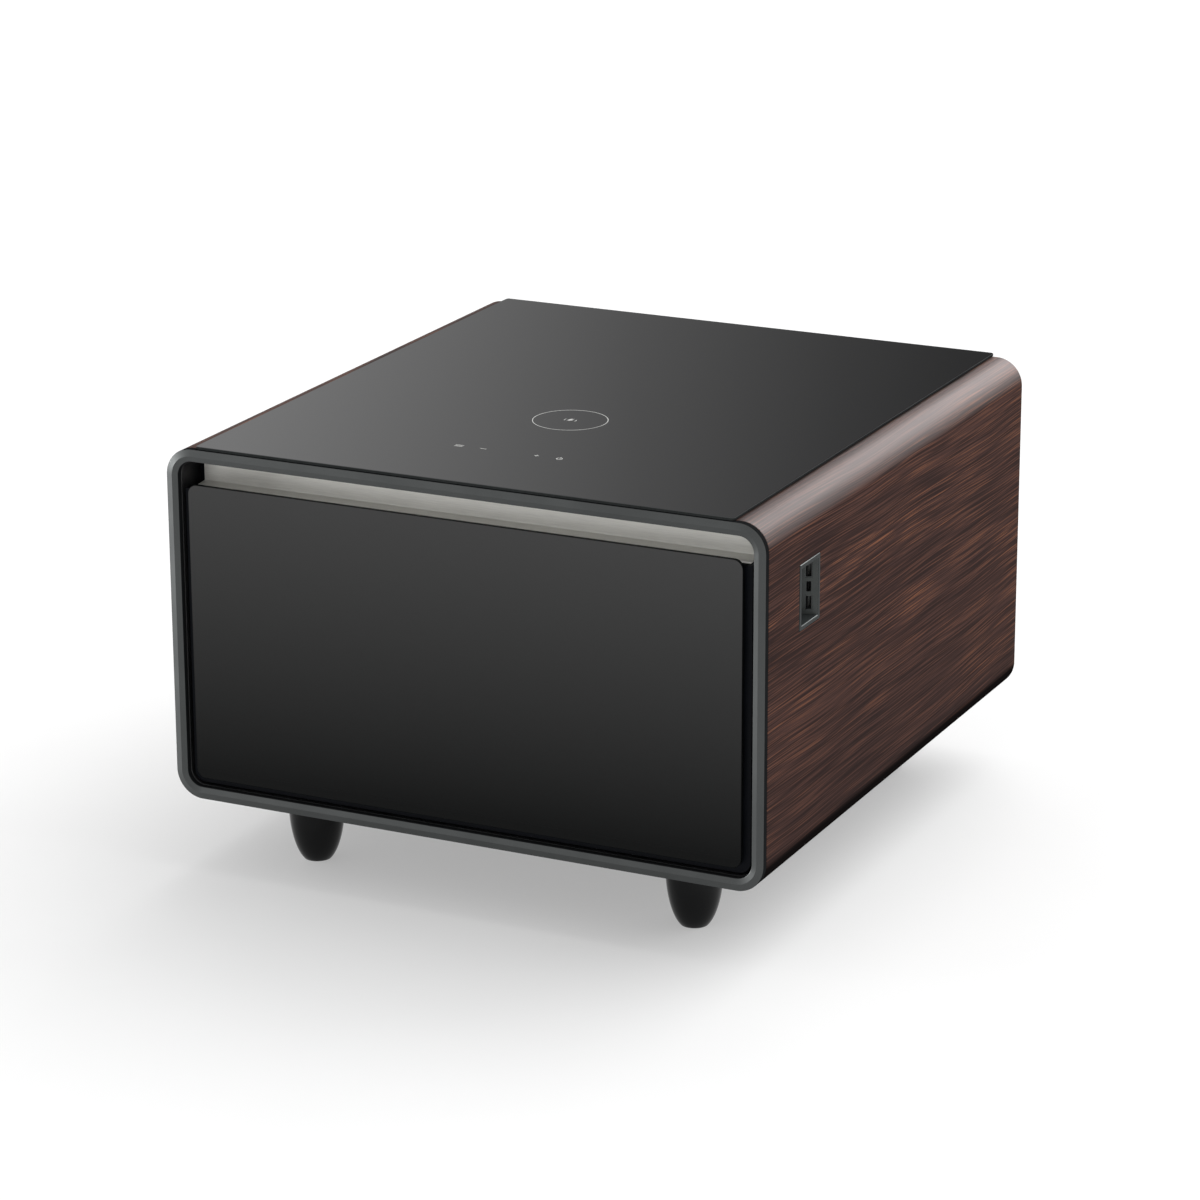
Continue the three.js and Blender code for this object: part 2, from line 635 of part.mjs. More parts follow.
// Port housing: a three-cornered pocket with a rim. Its slanting panel carries the sockets.
function portHousing() {
  const wallFront = new THREE.Vector2(portFace, portHousingFront);
  const wallRear = new THREE.Vector2(portFace, portHousingRear);
  const wallCorner = portCorner.clone().addScaledVector(portAlong, -PORT_WALL).addScaledVector(portPlug, PORT_WALL);
  const beyond = new THREE.Vector2(OVERRUN, 0);
  const wedge = outlineOf([wallFront, wallRear, wallCorner].map((spot) => spot.toArray()));
  const pocketEnds = [portRearEdge.clone().add(beyond), portFrontEdge.clone().add(beyond)];
  const pocket = outlineOf([portFrontEdge, portCorner, portRearEdge, ...pocketEnds].map((spot) => spot.toArray()));
  const rimX = [portFace - PORT_RIM_SINK, portFace + PORT_RIM_PROUD];
  const rimRun = [portFrontEdge.y - PORT_RIM_WIDTH, portRearEdge.y + PORT_RIM_WIDTH];
  const rim = slab(rimX, rimRun, around(portMidLevel, PORT_HEIGHT / 2 + PORT_RIM_WIDTH));
  const body = alongZ(wedge, around(portMidLevel, PORT_HEIGHT / 2 + PORT_WALL));
  const hollow = alongZ(pocket, around(portMidLevel, PORT_HEIGHT / 2));
  const windows = [
    socketBlock(USB_A_WALL / 2 + FIT, USB_A_LENGTH / 2 + FIT, [-OVERRUN, OVERRUN], 1),
    socketBlock(USB_C_WALL / 2 + FIT, USB_C_LENGTH / 2 + FIT, [-OVERRUN, OVERRUN], 0),
    socketBlock(USB_A_WALL / 2 + FIT, USB_A_LENGTH / 2 + FIT, [-OVERRUN, OVERRUN], -1),
  ];
  return cut(join(rim, body), hollow, ...windows);
}

// Moves a piece that is modelled with x along the port panel and y into the body to its place.
function atPort(geometry, level = 0) {
  return geometry.rotateZ(PORT_TURN).translate(portMid.x, portMid.y, portMidLevel + level * PORT_PITCH);
}

function socketBlock(halfAcross, halfUp, run, level) {
  return atPort(slab(around(0, halfAcross), run, around(0, halfUp)), level);
}

// A USB socket: a metal sleeve, open at the front, with the contact tongue inside.
function usbSocket(halfAcross, halfUp, reach, shell, level) {
  const sleeve = socketBlock(halfAcross, halfUp, [USB_RECESS, reach], level);
  const hollow = socketBlock(halfAcross - shell, halfUp - shell, [-OVERRUN, reach - shell * 2], level);
  const tongue = socketBlock(halfAcross / 4, halfUp - shell * 3, [USB_RECESS + shell * 2, reach - shell], level);
  return join(cut(sleeve, hollow), tongue);
}

function usbBoard() {
  const half = PORT_PITCH + USB_A_LENGTH / 2;
  const run = [USB_A_REACH + FIT, USB_A_REACH + FIT + BOARD_WALL];
  return atPort(slab([-USB_BOARD_INNER, USB_BOARD_OUTER], run, around(0, half)));
}

// Bezel: a ring whose face is a low roof.
function frontBezel() {
  const profile = [
    [0, front + BEZEL_DEPTH],
    [0, front + BEZEL_FALL],
    [-bezelWidth / 2, front],
    [-bezelWidth, front + BEZEL_FALL],
    [-bezelWidth, front + BEZEL_DEPTH],
  ];
  return ringAround([-halfWidth, halfWidth], [bodyBottom, bodyTop], PANEL_RADIUS, profile);
}

// The outline of the cabinet's inside, drawn in by a gap.
const insideOutline = (gap) => {
  return rounded([gap - insideHalf, insideHalf - gap], [insideBottom + gap, insideTop - gap], insideRadius - gap);
};
const openingOutline = () => rounded([-openingHalf, openingHalf], [openingBottom, openingTop], openingRadius);
const linerOutline = (gap) => {
  return rounded([-linerHalf - gap, linerHalf + gap], [linerBottom - gap, linerTop + gap], LINER_RADIUS + gap);
};

function throatRing() {
  return alongY(outlineOf(insideOutline(FIT), [openingOutline()]), [panelFront, throatRear]);
}

const firstTubeRow = linerBottom + EVAPORATOR_BOTTOM_GAP + EVAPORATOR_MARGIN;
const lastTubeRow = linerTop - EVAPORATOR_TOP_GAP - EVAPORATOR_MARGIN;
const tubeRowPitch = (lastTubeRow - firstTubeRow) / (EVAPORATOR_ROWS - 1);
const capillaryLevel = firstTubeRow + CAPILLARY_ROW * tubeRowPitch;
const suctionLevel = firstTubeRow + SUCTION_ROW * tubeRowPitch;
const suctionX = compressorX - STUB_PLACE_SHARE * COMPRESSOR_RADIUS;
const dischargeX = compressorX + STUB_PLACE_SHARE * COMPRESSOR_RADIUS;
const evaporatorHalf = EVAPORATOR_LAP - suctionX;
const condenserLeft = condenserX - CONDENSER_WIDTH / 2;
const drierX = condenserLeft - DRIER_INSET;

// Holes that let the capillary tube and the suction line through the liner, foam and bulkhead.
function lineHoles() {
  const run = [linerRear - OVERRUN, bulkheadRear + OVERRUN];
  const suction = crosswise(LINE_RADIUS + FIT, run, TUBE_SIDES).translate(suctionX, 0, suctionLevel);
  const capillary = crosswise(CAPILLARY_RADIUS + FIT, run, TUBE_SIDES).translate(drierX, 0, capillaryLevel);
  return [suction, capillary];
}

function innerLiner() {
  const tub = alongY(outlineOf(linerOutline(LINER_WALL)), [flangeFront, linerRear + LINER_WALL]);
  const flange = alongY(outlineOf(insideOutline(FIT)), [flangeFront, flangeRear]);
  const hollow = alongY(outlineOf(linerOutline(0)), [flangeFront - OVERRUN, linerRear]);
  return cut(join(tub, flange), hollow, ...lineHoles());
}

function foamInsulation() {
  const block = alongY(outlineOf(insideOutline(FIT)), [flangeRear + FIT, bulkheadFront - FIT]);
  const seat = outlineOf(linerOutline(LINER_WALL + FIT));
  const hollow = alongY(seat, [flangeRear - OVERRUN, linerRear + LINER_WALL + FIT]);
  const notchHalf = PORT_HEIGHT / 2 + PORT_WALL + FIT;
  const notchRun = [portHousingFront - FIT, portHousingRear + PORT_NOTCH_MARGIN];
  const notchX = [insideHalf - PORT_NOTCH_DEPTH, insideHalf + OVERRUN];
  const notch = slab(notchX, notchRun, around(portMidLevel, notchHalf));
  return cut(block, hollow, notch, ...lineHoles());
}

function bulkhead() {
  return cut(alongY(outlineOf(insideOutline(FIT)), [bulkheadFront, bulkheadRear]), ...lineHoles());
}

// Top deck with pockets for the charger, the touch board and the ribbon cable.
const coilY = front + COIL_DEPTH;
const touchY = front + TOUCH_DEPTH;
const pocketFloor = deckTop - POCKET_DEPTH;
const ribbonDropY = bulkheadRear + CONTROL_DEPTH / 2;
const ribbonX = around(RIBBON_X, RIBBON_WIDTH / 2);
const grow = ([low, high], gap) => [low - gap, high + gap];
const pocketUp = [pocketFloor, deckTop + OVERRUN];

function topDeck() {
  const block = slab([-deckHalf, deckHalf], [panelFront, rear], [insideTop, deckTop]);
  const pocketHalf = COIL_RADIUS + POCKET_MARGIN;
  const chargerX = [COIL_X - pocketHalf - CHARGER_BOARD_LENGTH, COIL_X + pocketHalf];
  const charger = slab(chargerX, around(coilY, pocketHalf), pocketUp);
  const touchHalf = TOUCH_BOARD_LENGTH / 2 + POCKET_MARGIN;
  const touch = slab(around(0, touchHalf), around(touchY, TOUCH_BOARD_WIDTH / 2 + FIT), pocketUp);
  const groove = slab(grow(ribbonX, FIT), [touchY, ribbonDropY + RIBBON_WALL + FIT], pocketUp);
  const drop = slab(grow(ribbonX, FIT), [ribbonDropY - FIT, ribbonDropY + RIBBON_WALL + FIT], [insideTop - OVERRUN, deckTop]);
  return cut(block, charger, touch, groove, drop);
}

const boardUp = [pocketFloor + FIT, pocketFloor + FIT + BOARD_WALL];

function chargerCoil() {
  const disc = upright(COIL_RADIUS, [pocketFloor + FIT, pocketFloor + FIT + COIL_WALL]);
  const hole = upright(COIL_HOLE_RADIUS, [pocketFloor - OVERRUN, deckTop + OVERRUN]);
  return cut(disc, hole).translate(COIL_X, coilY, 0);
}

function chargerBoard() {
  const end = COIL_X - COIL_RADIUS - FIT;
  return slab([end - CHARGER_BOARD_LENGTH, end], around(coilY, CHARGER_BOARD_WIDTH / 2), boardUp);
}

// The touch board, with its flat cable to the rear and down to the control box.
function touchBoard() {
  const plate = slab(around(0, TOUCH_BOARD_LENGTH / 2), around(touchY, TOUCH_BOARD_WIDTH / 2), boardUp);
  const low = pocketFloor + FIT;
  const foot = controlTop + FIT;
  const cable = outlineOf([
    [touchY, low],
    [ribbonDropY, low],
    [ribbonDropY, foot],
    [ribbonDropY + RIBBON_WALL, foot],
    [ribbonDropY + RIBBON_WALL, low + RIBBON_WALL],
    [touchY, low + RIBBON_WALL],
  ]);
  return join(plate, alongX(cable, ribbonX));
}

function glassTop() {
  const half = halfWidth - GLASS_SIDE_INSET;
  const run = [front + GLASS_FRONT_INSET, rearPanelRear + GLASS_REAR_LAP];
  const outline = outlineOf(rounded([-half, half], run, GLASS_RADIUS, SMALL_STEPS));
  return alongZ(outline, [glassBottom, glassBottom + GLASS_WALL], GLASS_ARRIS);
}

function glassSeal() {
  const outerHalf = deckHalf - SEAL_INSET;
  const outerRun = [panelFront + SEAL_INSET, rear - SEAL_INSET];
  const outer = rounded([-outerHalf, outerHalf], outerRun, SEAL_WIDTH, SMALL_STEPS);
  const innerHalf = outerHalf - SEAL_WIDTH;
  const inner = rounded([-innerHalf, innerHalf], grow(outerRun, -SEAL_WIDTH), SEAL_WIDTH / 2, SMALL_STEPS);
  return alongZ(outlineOf(outer, [inner]), [deckTop + FIT, glassBottom - FIT]);
}

// Legs: the round stretch follows radius = top radius x (1 - u^2)^power, where u falls from 1 to 0.
const legPlaces = [
  ['leg_front_left', -1, front + LEG_END_INSET],
  ['leg_front_right', 1, front + LEG_END_INSET],
  ['leg_rear_left', -1, rear - LEG_END_INSET],
  ['leg_rear_right', 1, rear - LEG_END_INSET],
];

function leg(side, y) {
  const curve = Array.from({ length: LEG_STEPS }, (_, i) => {
    const height = ((i + 1) / LEG_STEPS) ** 2;
    return [LEG_RADIUS * (1 - (1 - height) ** 2) ** LEG_FULLNESS_POWER, height * LEG_CURVED_HEIGHT];
  }).filter(([radius]) => radius > LEG_SOLE_RADIUS);
  const top = bodyBottom - FIT;
  const studTop = bodyBottom + LEG_STUD_LENGTH;
  const stud = [[LEG_STUD_RADIUS, top], [LEG_STUD_RADIUS, studTop], [0, studTop]];
  return turned([[0, 0], [LEG_SOLE_RADIUS, 0], ...curve, [LEG_RADIUS, top], ...stud]).translate(side * (halfWidth - LEG_SIDE_INSET), y, 0);
}

function basePanel() {
  const block = slab([-deckHalf, deckHalf], [panelFront, rear], [bodyBottom, insideBottom]);
  const holes = legPlaces.map(([, side, y]) => {
    const hole = upright(LEG_STUD_RADIUS + FIT, [bodyBottom - OVERRUN, insideBottom + OVERRUN]);
    return hole.translate(side * (halfWidth - LEG_SIDE_INSET), y, 0);
  });
  return cut(block, ...holes);
}

// Drawer front
const doorHalf = openingHalf - DOOR_SIDE_GAP;
const doorBottom = openingBottom + DOOR_BOTTOM_GAP;
const doorTop = openingTop - DOOR_TOP_GAP;
const doorRadius = openingRadius - DOOR_SIDE_GAP;
const doorGlassFront = front + DOOR_GLASS_SETBACK;
const doorGlassRear = doorGlassFront + DOOR_GLASS_WALL;
const doorGlassHalf = doorHalf - DOOR_GLASS_INSET;
const doorGlassBottom = doorBottom + DOOR_GLASS_INSET;
const doorGlassTop = openingTop - PULL_GAP;
const frameFront = doorGlassRear + FIT + PLATEAU_HEIGHT;
const frameRear = frameFront + FRAME_DEPTH;
const channelHalf = doorHalf - CHANNEL_END_INSET;
const stripFace = frameRear - STRIP_BACKING;
const ledgeFront = doorGlassTop - LEDGE_DROP - LEDGE_RISE - CHANNEL_WALL - FIT;
const gripSill = ledgeFront + LEDGE_RISE;
const grooveFloor = ledgeFront - GROOVE_DEPTH;
const grooveFront = frameFront + FRAME_LIP_WALL;
const grooveRear = grooveFront + GROOVE_WIDTH;

// The frame's surface under the pull channel, in (y, z), from the lip behind the glass to the top.
const pullPath = [
  [grooveFront, ledgeFront],
  [grooveFront, grooveFloor],
  [grooveRear, grooveFloor],
  [grooveRear + LEDGE_RUN, ledgeFront],
  [stripFace, gripSill],
  [stripFace, doorTop],
];

function doorGlass() {
  const outline = rounded([-doorGlassHalf, doorGlassHalf], [doorGlassBottom, doorGlassTop], DOOR_GLASS_RADIUS);
  return alongY(outlineOf(outline), [doorGlassFront, doorGlassRear], DOOR_GLASS_ARRIS);
}

const frameCavity = (gap) => {
  const across = [gap + FRAME_WALL - doorHalf, doorHalf - FRAME_WALL - gap];
  const up = [doorBottom + FRAME_WALL + gap, grooveFloor - FRAME_WALL - gap];
  return outlineOf(rounded(across, up, doorRadius - FRAME_WALL));
};

function doorFrame() {
  const block = alongY(outlineOf(rounded([-doorHalf, doorHalf], [doorBottom, doorTop], doorRadius)), [frameFront, frameRear]);
  const padHalf = doorGlassHalf - PLATEAU_INSET;
  const padUp = [doorGlassBottom + PLATEAU_INSET, doorGlassTop - PLATEAU_INSET];
  const pad = slab([-padHalf, padHalf], [doorGlassRear + FIT, frameFront], padUp);
  const cavity = alongY(frameCavity(0), [frameFront + FRAME_WALL, frameRear + OVERRUN]);
  const above = doorTop + OVERRUN;
  const ahead = frameFront - OVERRUN;
  const pull = outlineOf([...pullPath.slice(0, -1), [stripFace, above], [ahead, above], [ahead, ledgeFront]]);
  const groove = alongX(pull, [-channelHalf - FIT, channelHalf + FIT]);
  const shelf = slab([-halfWidth, halfWidth], [frameFront, frameRear + OVERRUN], [gripSill, above]);
  return join(cut(block, cavity, groove, shelf), cut(pad, groove));
}

// The upright wall behind the strip, which stands on the rear edge of the frame.
function gripBacking() {
  const outline = outlineOf(rounded([-doorHalf, doorHalf], [doorBottom, doorTop], doorRadius));
  const below = slab([-halfWidth, halfWidth], [frameFront, frameRear + OVERRUN], [bodyBottom, gripSill + FIT]);
  return cut(alongY(outline, [stripFace, frameRear]), below);
}

function doorFoam() {
  return alongY(frameCavity(FIT), [frameFront + FRAME_WALL + FIT, frameRear]);
}

function pullChannel() {
  return alongX(sheetOutline([...pullPath].reverse(), FIT, FIT + CHANNEL_WALL), [-channelHalf, channelHalf]);
}

const doorPanelFront = frameRear + FIT;
const doorPanelRear = doorPanelFront + DOOR_PANEL_WALL;
const plinthRear = doorPanelRear + PLINTH_HEIGHT;
const doorPanelUp = [doorBottom + DOOR_PANEL_INSET, doorTop - DOOR_PANEL_INSET];

function doorInnerPanel() {
  const half = doorHalf - DOOR_PANEL_INSET;
  const sheet = alongY(outlineOf(rounded([-half, half], doorPanelUp, doorRadius)), [doorPanelFront, doorPanelRear]);
  const plinthHalf = linerHalf - PLINTH_CLEARANCE;
  const plinthUp = [linerBottom + PLINTH_CLEARANCE, linerTop - PLINTH_CLEARANCE];
  const plinth = alongY(outlineOf(rounded([-plinthHalf, plinthHalf], plinthUp, PLINTH_RADIUS)), [doorPanelFront, plinthRear]);
  return join(sheet, plinth);
}

function doorGasket() {
  const inner = linerOutline(GASKET_LAP);
  const outer = linerOutline(GASKET_LAP + GASKET_WIDTH);
  return alongY(outlineOf(outer, [inner]), [doorPanelRear + FIT, flangeFront - FIT]);
}

// Runners: three nested channels a side. Each is drawn in (outward, z) from the liner wall inwards.
const runnerStep = RUNNER_WALL + RUNNER_PLAY;
const runnerMid = linerBottom + RUNNER_LEVEL;
const runnerFace = linerHalf - FIT;
const runnerRun = [flangeRear, linerRear - RUNNER_REAR_GAP];
const evaporatorFront = linerRear - FIT - 2 * EVAPORATOR_TUBE_RADIUS - EVAPORATOR_WALL;

// A channel whose web is at webOut, whose lips reach to lipOut, and whose height is given.
function runnerChannel(side, webOut, webIn, lipEnd, height) {
  const outer = slab(fromSide(side, Math.min(webIn, lipEnd), Math.max(webOut, lipEnd)), runnerRun, around(runnerMid, height / 2));
  const inside = webIn > lipEnd ? [lipEnd - OVERRUN, webIn] : [webOut, lipEnd + OVERRUN];
  const run = grow(runnerRun, OVERRUN);
  return cut(outer, slab(fromSide(side, ...inside), run, around(runnerMid, height / 2 - RUNNER_WALL)));
}

function outerRunner(side) {
  return runnerChannel(side, runnerFace, runnerFace - RUNNER_WALL, runnerFace - RUNNER_LIP, RUNNER_HEIGHT);
}

function middleRunner(side) {
  const web = runnerFace - runnerStep;
  return runnerChannel(side, web, web - RUNNER_WALL, web - RUNNER_LIP + RUNNER_WALL, RUNNER_HEIGHT - 2 * runnerStep);
}

function innerRunner(side) {
  const face = runnerFace - RUNNER_SPACE;
  const lipEnd = runnerFace - 2 * runnerStep;
  return runnerChannel(side, face + RUNNER_WALL, face, lipEnd, RUNNER_HEIGHT - 4 * runnerStep);
}

// Drawer bin: an open box with a rim, and a divider across it.
const binHalf = runnerFace - RUNNER_SPACE - FIT;
const binBottom = linerBottom + BIN_FLOOR_GAP;
const binTop = linerTop - BIN_TOP_GAP;
const binRun = [plinthRear + FIT, evaporatorFront - BIN_REAR_GAP];
const dividerY = binRun[0] + DIVIDER_PLACE_SHARE * (binRun[1] - binRun[0]);

function drawerBin() {
  const box = alongZ(outlineOf(rounded([-binHalf, binHalf], binRun, BIN_RADIUS)), [binBottom, binTop]);
  const innerHalf = binHalf - BIN_WALL;
  const inner = outlineOf(rounded([-innerHalf, innerHalf], grow(binRun, -BIN_WALL), BIN_RADIUS - BIN_WALL));
  const hollow = alongZ(inner, [binBottom + BIN_WALL, binTop + OVERRUN]);
  const rimHalf = binHalf + BIN_RIM_WIDTH;
  const rimRun = [binRun[0], binRun[1] + BIN_RIM_WIDTH];
  const rimOutline = outlineOf(rounded([-rimHalf, rimHalf], rimRun, BIN_RADIUS));
  const rim = alongZ(rimOutline, [binTop - BIN_RIM_HEIGHT, binTop]);
  return cut(join(box, rim), hollow);
}

function binDivider() {
  const half = binHalf - BIN_WALL - FIT;
  const up = [binBottom + BIN_WALL + FIT, binTop - DIVIDER_DROP];
  return slab([-half, half], [dividerY, dividerY + DIVIDER_WALL], up);
}

// A route of level runs, one above another, that starts at the left and turns back at each end.
function serpentine(halfRun, y, firstLevel, pitch, rows) {
  const spots = [];
  for (let i = 0; i < rows; i += 1) {
    const side = i % 2 ? -1 : 1;
    const z = firstLevel + i * pitch;
    spots.push([-side * halfRun, y, z], [side * halfRun, y, z]);
  }
  return route(spots, pitch / 2);
}

// Evaporator: a plate in front of level tube runs joined by bends
function evaporator() {
  const tubeY = linerRear - FIT - EVAPORATOR_TUBE_RADIUS;
  const run = serpentine(evaporatorHalf - EVAPORATOR_MARGIN, tubeY, firstTubeRow, tubeRowPitch, EVAPORATOR_ROWS);
  const plateRear = evaporatorFront + EVAPORATOR_WALL + EVAPORATOR_TUBE_RADIUS / 2;
  const plate = slab(
    [-evaporatorHalf, evaporatorHalf],
    [evaporatorFront, plateRear],
    [firstTubeRow - EVAPORATOR_MARGIN, lastTubeRow + EVAPORATOR_MARGIN],
  );
  return join(plate, tube(run, EVAPORATOR_TUBE_RADIUS));
}

function linerLamp() {
  const y = flangeRear + LAMP_SETBACK;
  const up = [linerTop - FIT - LAMP_WALL, linerTop - FIT];
  const outline = outlineOf(rounded(around(0, LAMP_LENGTH / 2), [y, y + LAMP_WIDTH], LAMP_WIDTH / 3, SMALL_STEPS));
  return alongZ(outline, up);
}

// Compressor on its plate
const mountTop = insideBottom + FIT + MOUNT_WALL;
const damperTop = mountTop + FIT + DAMPER_HEIGHT;
const footTop = damperTop + FIT + FOOT_PLATE_WALL;
const compressorTop = footTop + COMPRESSOR_HEIGHT;
const stubTop = compressorTop + STUB_RISE;

function mountPlate() {
  const halfX = FOOT_PLATE_LENGTH / 2 + MOUNT_MARGIN;
  const halfY = FOOT_PLATE_WIDTH / 2 + MOUNT_MARGIN;
  return slab(around(compressorX, halfX), around(machineMid, halfY), [insideBottom + FIT, mountTop]);
}

// A rubber mat with four buffers that the compressor's feet stand on.
function damper() {
  const x = FOOT_PLATE_LENGTH / 2 - DAMPER_INSET;
  const y = FOOT_PLATE_WIDTH / 2 - DAMPER_INSET;
  const mat = slab([-x, x], [-y, y], [mountTop + FIT, mountTop + FIT + DAMPER_MAT_WALL]);
  const buffers = [[-x, -y], [x, -y], [x, y], [-x, y]].map(([dx, dy]) => {
    return upright(DAMPER_RADIUS, [mountTop + FIT, damperTop], TUBE_SIDES).translate(dx, dy, 0);
  });
  return join(mat, ...buffers).translate(compressorX, machineMid, 0);
}

function compressor() {
  const dome = COMPRESSOR_PROFILE_SHARES.map(([across, up]) => {
    return [across * COMPRESSOR_RADIUS, footTop + up * COMPRESSOR_HEIGHT];
  });
  const base = damperTop + FIT;
  const shell = turned([[0, base], [dome[0][0], base], ...dome, [0, compressorTop]]);
  const feet = slab(around(0, FOOT_PLATE_LENGTH / 2), around(0, FOOT_PLATE_WIDTH / 2), [base, footTop]);
  const stub = (x) => upright(STUB_RADIUS, [compressorTop - COMPRESSOR_HEIGHT / 2, stubTop], TUBE_SIDES).translate(x, 0, 0);
  const boxX = [-COMPRESSOR_RADIUS - TERMINAL_BOX / 4, -COMPRESSOR_RADIUS / 2];
  const box = slab(boxX, around(0, TERMINAL_BOX / 2), [footTop + TERMINAL_BOX / 2, footTop + TERMINAL_BOX * 2]);
  const whole = join(shell, feet, box, stub(suctionX - compressorX), stub(dischargeX - compressorX));
  return whole.translate(compressorX, machineMid, 0);
}

// Condenser: upright fins on a level serpentine tube
const controlTop = insideTop - CONTROL_DROP;
const controlBottom = controlTop - CONTROL_HEIGHT;
const condenserFront = bulkheadRear + CONDENSER_STANDOFF;
const condenserRear = condenserFront + CONDENSER_WALL;
const condenserMidY = (condenserFront + condenserRear) / 2;
const condenserBottom = insideBottom + CONDENSER_FOOT;
const condenserTop = controlBottom - CONDENSER_TOP_GAP;
const condenserHeight = condenserTop - condenserBottom;
const condenserMidLevel = (condenserBottom + condenserTop) / 2;
const coilPitch = condenserHeight / COIL_PASSES;
const coilFirst = condenserBottom + coilPitch / 2;
const coilLast = coilFirst + (COIL_PASSES - 1) * coilPitch;
const coilEnd = condenserLeft - COIL_STUB;

function condenser() {
  const pitch = (CONDENSER_WIDTH - FIN_WALL) / (CONDENSER_FINS - 1);
  const fins = Array.from({ length: CONDENSER_FINS }, (_, i) => {
    const x = condenserLeft + i * pitch;
    const isEnd = i === 0 || i === CONDENSER_FINS - 1;
    const bottom = isEnd ? insideBottom + FIT : condenserBottom;
    return slab([x, x + FIN_WALL], [condenserFront, condenserRear], [bottom, condenserTop]);
  });
  const run = CONDENSER_WIDTH / 2 + COIL_STUB;
  const path = serpentine(run, condenserMidY, coilFirst, coilPitch, COIL_PASSES);
  return join(tube(path.map((spot) => spot.setX(spot.x + condenserX)), COIL_TUBE_RADIUS), ...fins);
}

// Fan: a shroud with a short duct, struts and a motor, and the turning impeller
const shroudFront = condenserRear + FIT;
const ductRear = shroudFront + SHROUD_DEPTH;
const ductOuter = FAN_RADIUS + SHROUD_WALL;
const strutFront = ductRear - STRUT_WALL;
const motorRear = strutFront - FIT;
const motorFront = motorRear - MOTOR_LENGTH;
const hubRear = motorFront - FIT;
const hubFront = hubRear - HUB_LENGTH;
const atFan = (geometry) => geometry.translate(condenserX, 0, condenserMidLevel);

function fanShroud() {
  const halfX = CONDENSER_WIDTH / 2;
  const halfZ = condenserHeight / 2;
  const plate = slab([-halfX, halfX], [shroudFront, shroudFront + SHROUD_WALL], [-halfZ, halfZ]);
  const duct = crosswise(ductOuter, [shroudFront, ductRear]);
  const bore = crosswise(FAN_RADIUS, [shroudFront - OVERRUN, ductRear + OVERRUN]);
  const struts = Array.from({ length: STRUT_COUNT }, (_, i) => {
    const bar = slab([0, FAN_RADIUS + SHROUD_WALL / 2], [strutFront, ductRear], around(0, STRUT_WIDTH / 2));
    return bar.rotateY((2 * Math.PI * i) / STRUT_COUNT);
  });
  return atFan(join(cut(join(plate, duct), bore), ...struts, crosswise(MOTOR_RADIUS, [strutFront, ductRear])));
}

function fanMotor() {
  const can = crosswise(MOTOR_RADIUS, [motorFront, motorRear]);
  return atFan(join(can, crosswise(SHAFT_RADIUS, [motorFront - SHAFT_LENGTH, motorRear], TUBE_SIDES)));
}

function fanImpeller() {
  const hub = crosswise(MOTOR_RADIUS, [hubFront, hubRear]);
  const bore = crosswise(SHAFT_RADIUS + FIT, [hubFront - OVERRUN, hubRear + OVERRUN], TUBE_SIDES);
  const hubMid = (hubFront + hubRear) / 2;
  const blades = Array.from({ length: BLADE_COUNT }, (_, i) => {
    const reach = [MOTOR_RADIUS / 2, FAN_RADIUS - FAN_TIP_GAP];
    const blade = slab(reach, around(0, BLADE_WALL / 2), around(0, BLADE_CHORD / 2)).rotateX(BLADE_PITCH);
    return blade.translate(0, hubMid, 0).rotateY((2 * Math.PI * i) / BLADE_COUNT);
  });
  return atFan(cut(join(hub, ...blades), bore));
}

// Refrigerant lines
function dischargeLine() {
  const high = stubTop + DISCHARGE_RISE;
  const x = condenserLeft - DISCHARGE_INSET - COIL_STUB;
  return tube(route([
    [dischargeX, machineMid, stubTop + FIT],
    [dischargeX, machineMid, high],
    [x, machineMid, high],
    [x, condenserMidY, high],
    [x, condenserMidY, coilLast],
    [coilEnd - FIT, condenserMidY, coilLast],
  ]), LINE_RADIUS);
}

const drierBottom = insideBottom + DRIER_LEVEL;
const drierTop = drierBottom + DRIER_LENGTH;

function liquidLine() {
  return tube(route([
    [coilEnd - FIT, condenserMidY, coilFirst],
    [drierX, condenserMidY, coilFirst],
    [drierX, condenserMidY, drierBottom - FIT],
  ]), LINE_RADIUS);
}

function filterDrier() {
  const can = DRIER_PROFILE_SHARES.map(([across, up]) => [across * DRIER_RADIUS, drierBottom + up * DRIER_LENGTH]);
  return turned([[0, drierBottom], ...can, [0, drierTop]], TUBE_SIDES).translate(drierX, condenserMidY, 0);
}

const lineFront = linerRear;

function capillaryTube() {
  return tube(route([
    [drierX, condenserMidY, drierTop + FIT],
    [drierX, condenserMidY, capillaryLevel],
    [drierX, lineFront, capillaryLevel],
  ]), CAPILLARY_RADIUS);
}

function suctionLine() {
  return tube(route([
    [suctionX, machineMid, stubTop + FIT],
    [suctionX, machineMid, suctionLevel],
    [suctionX, lineFront, suctionLevel],
  ]), LINE_RADIUS);
}

// Power: inlet, harness and control box
const inletFront = rearPanelRear - INLET_REACH;

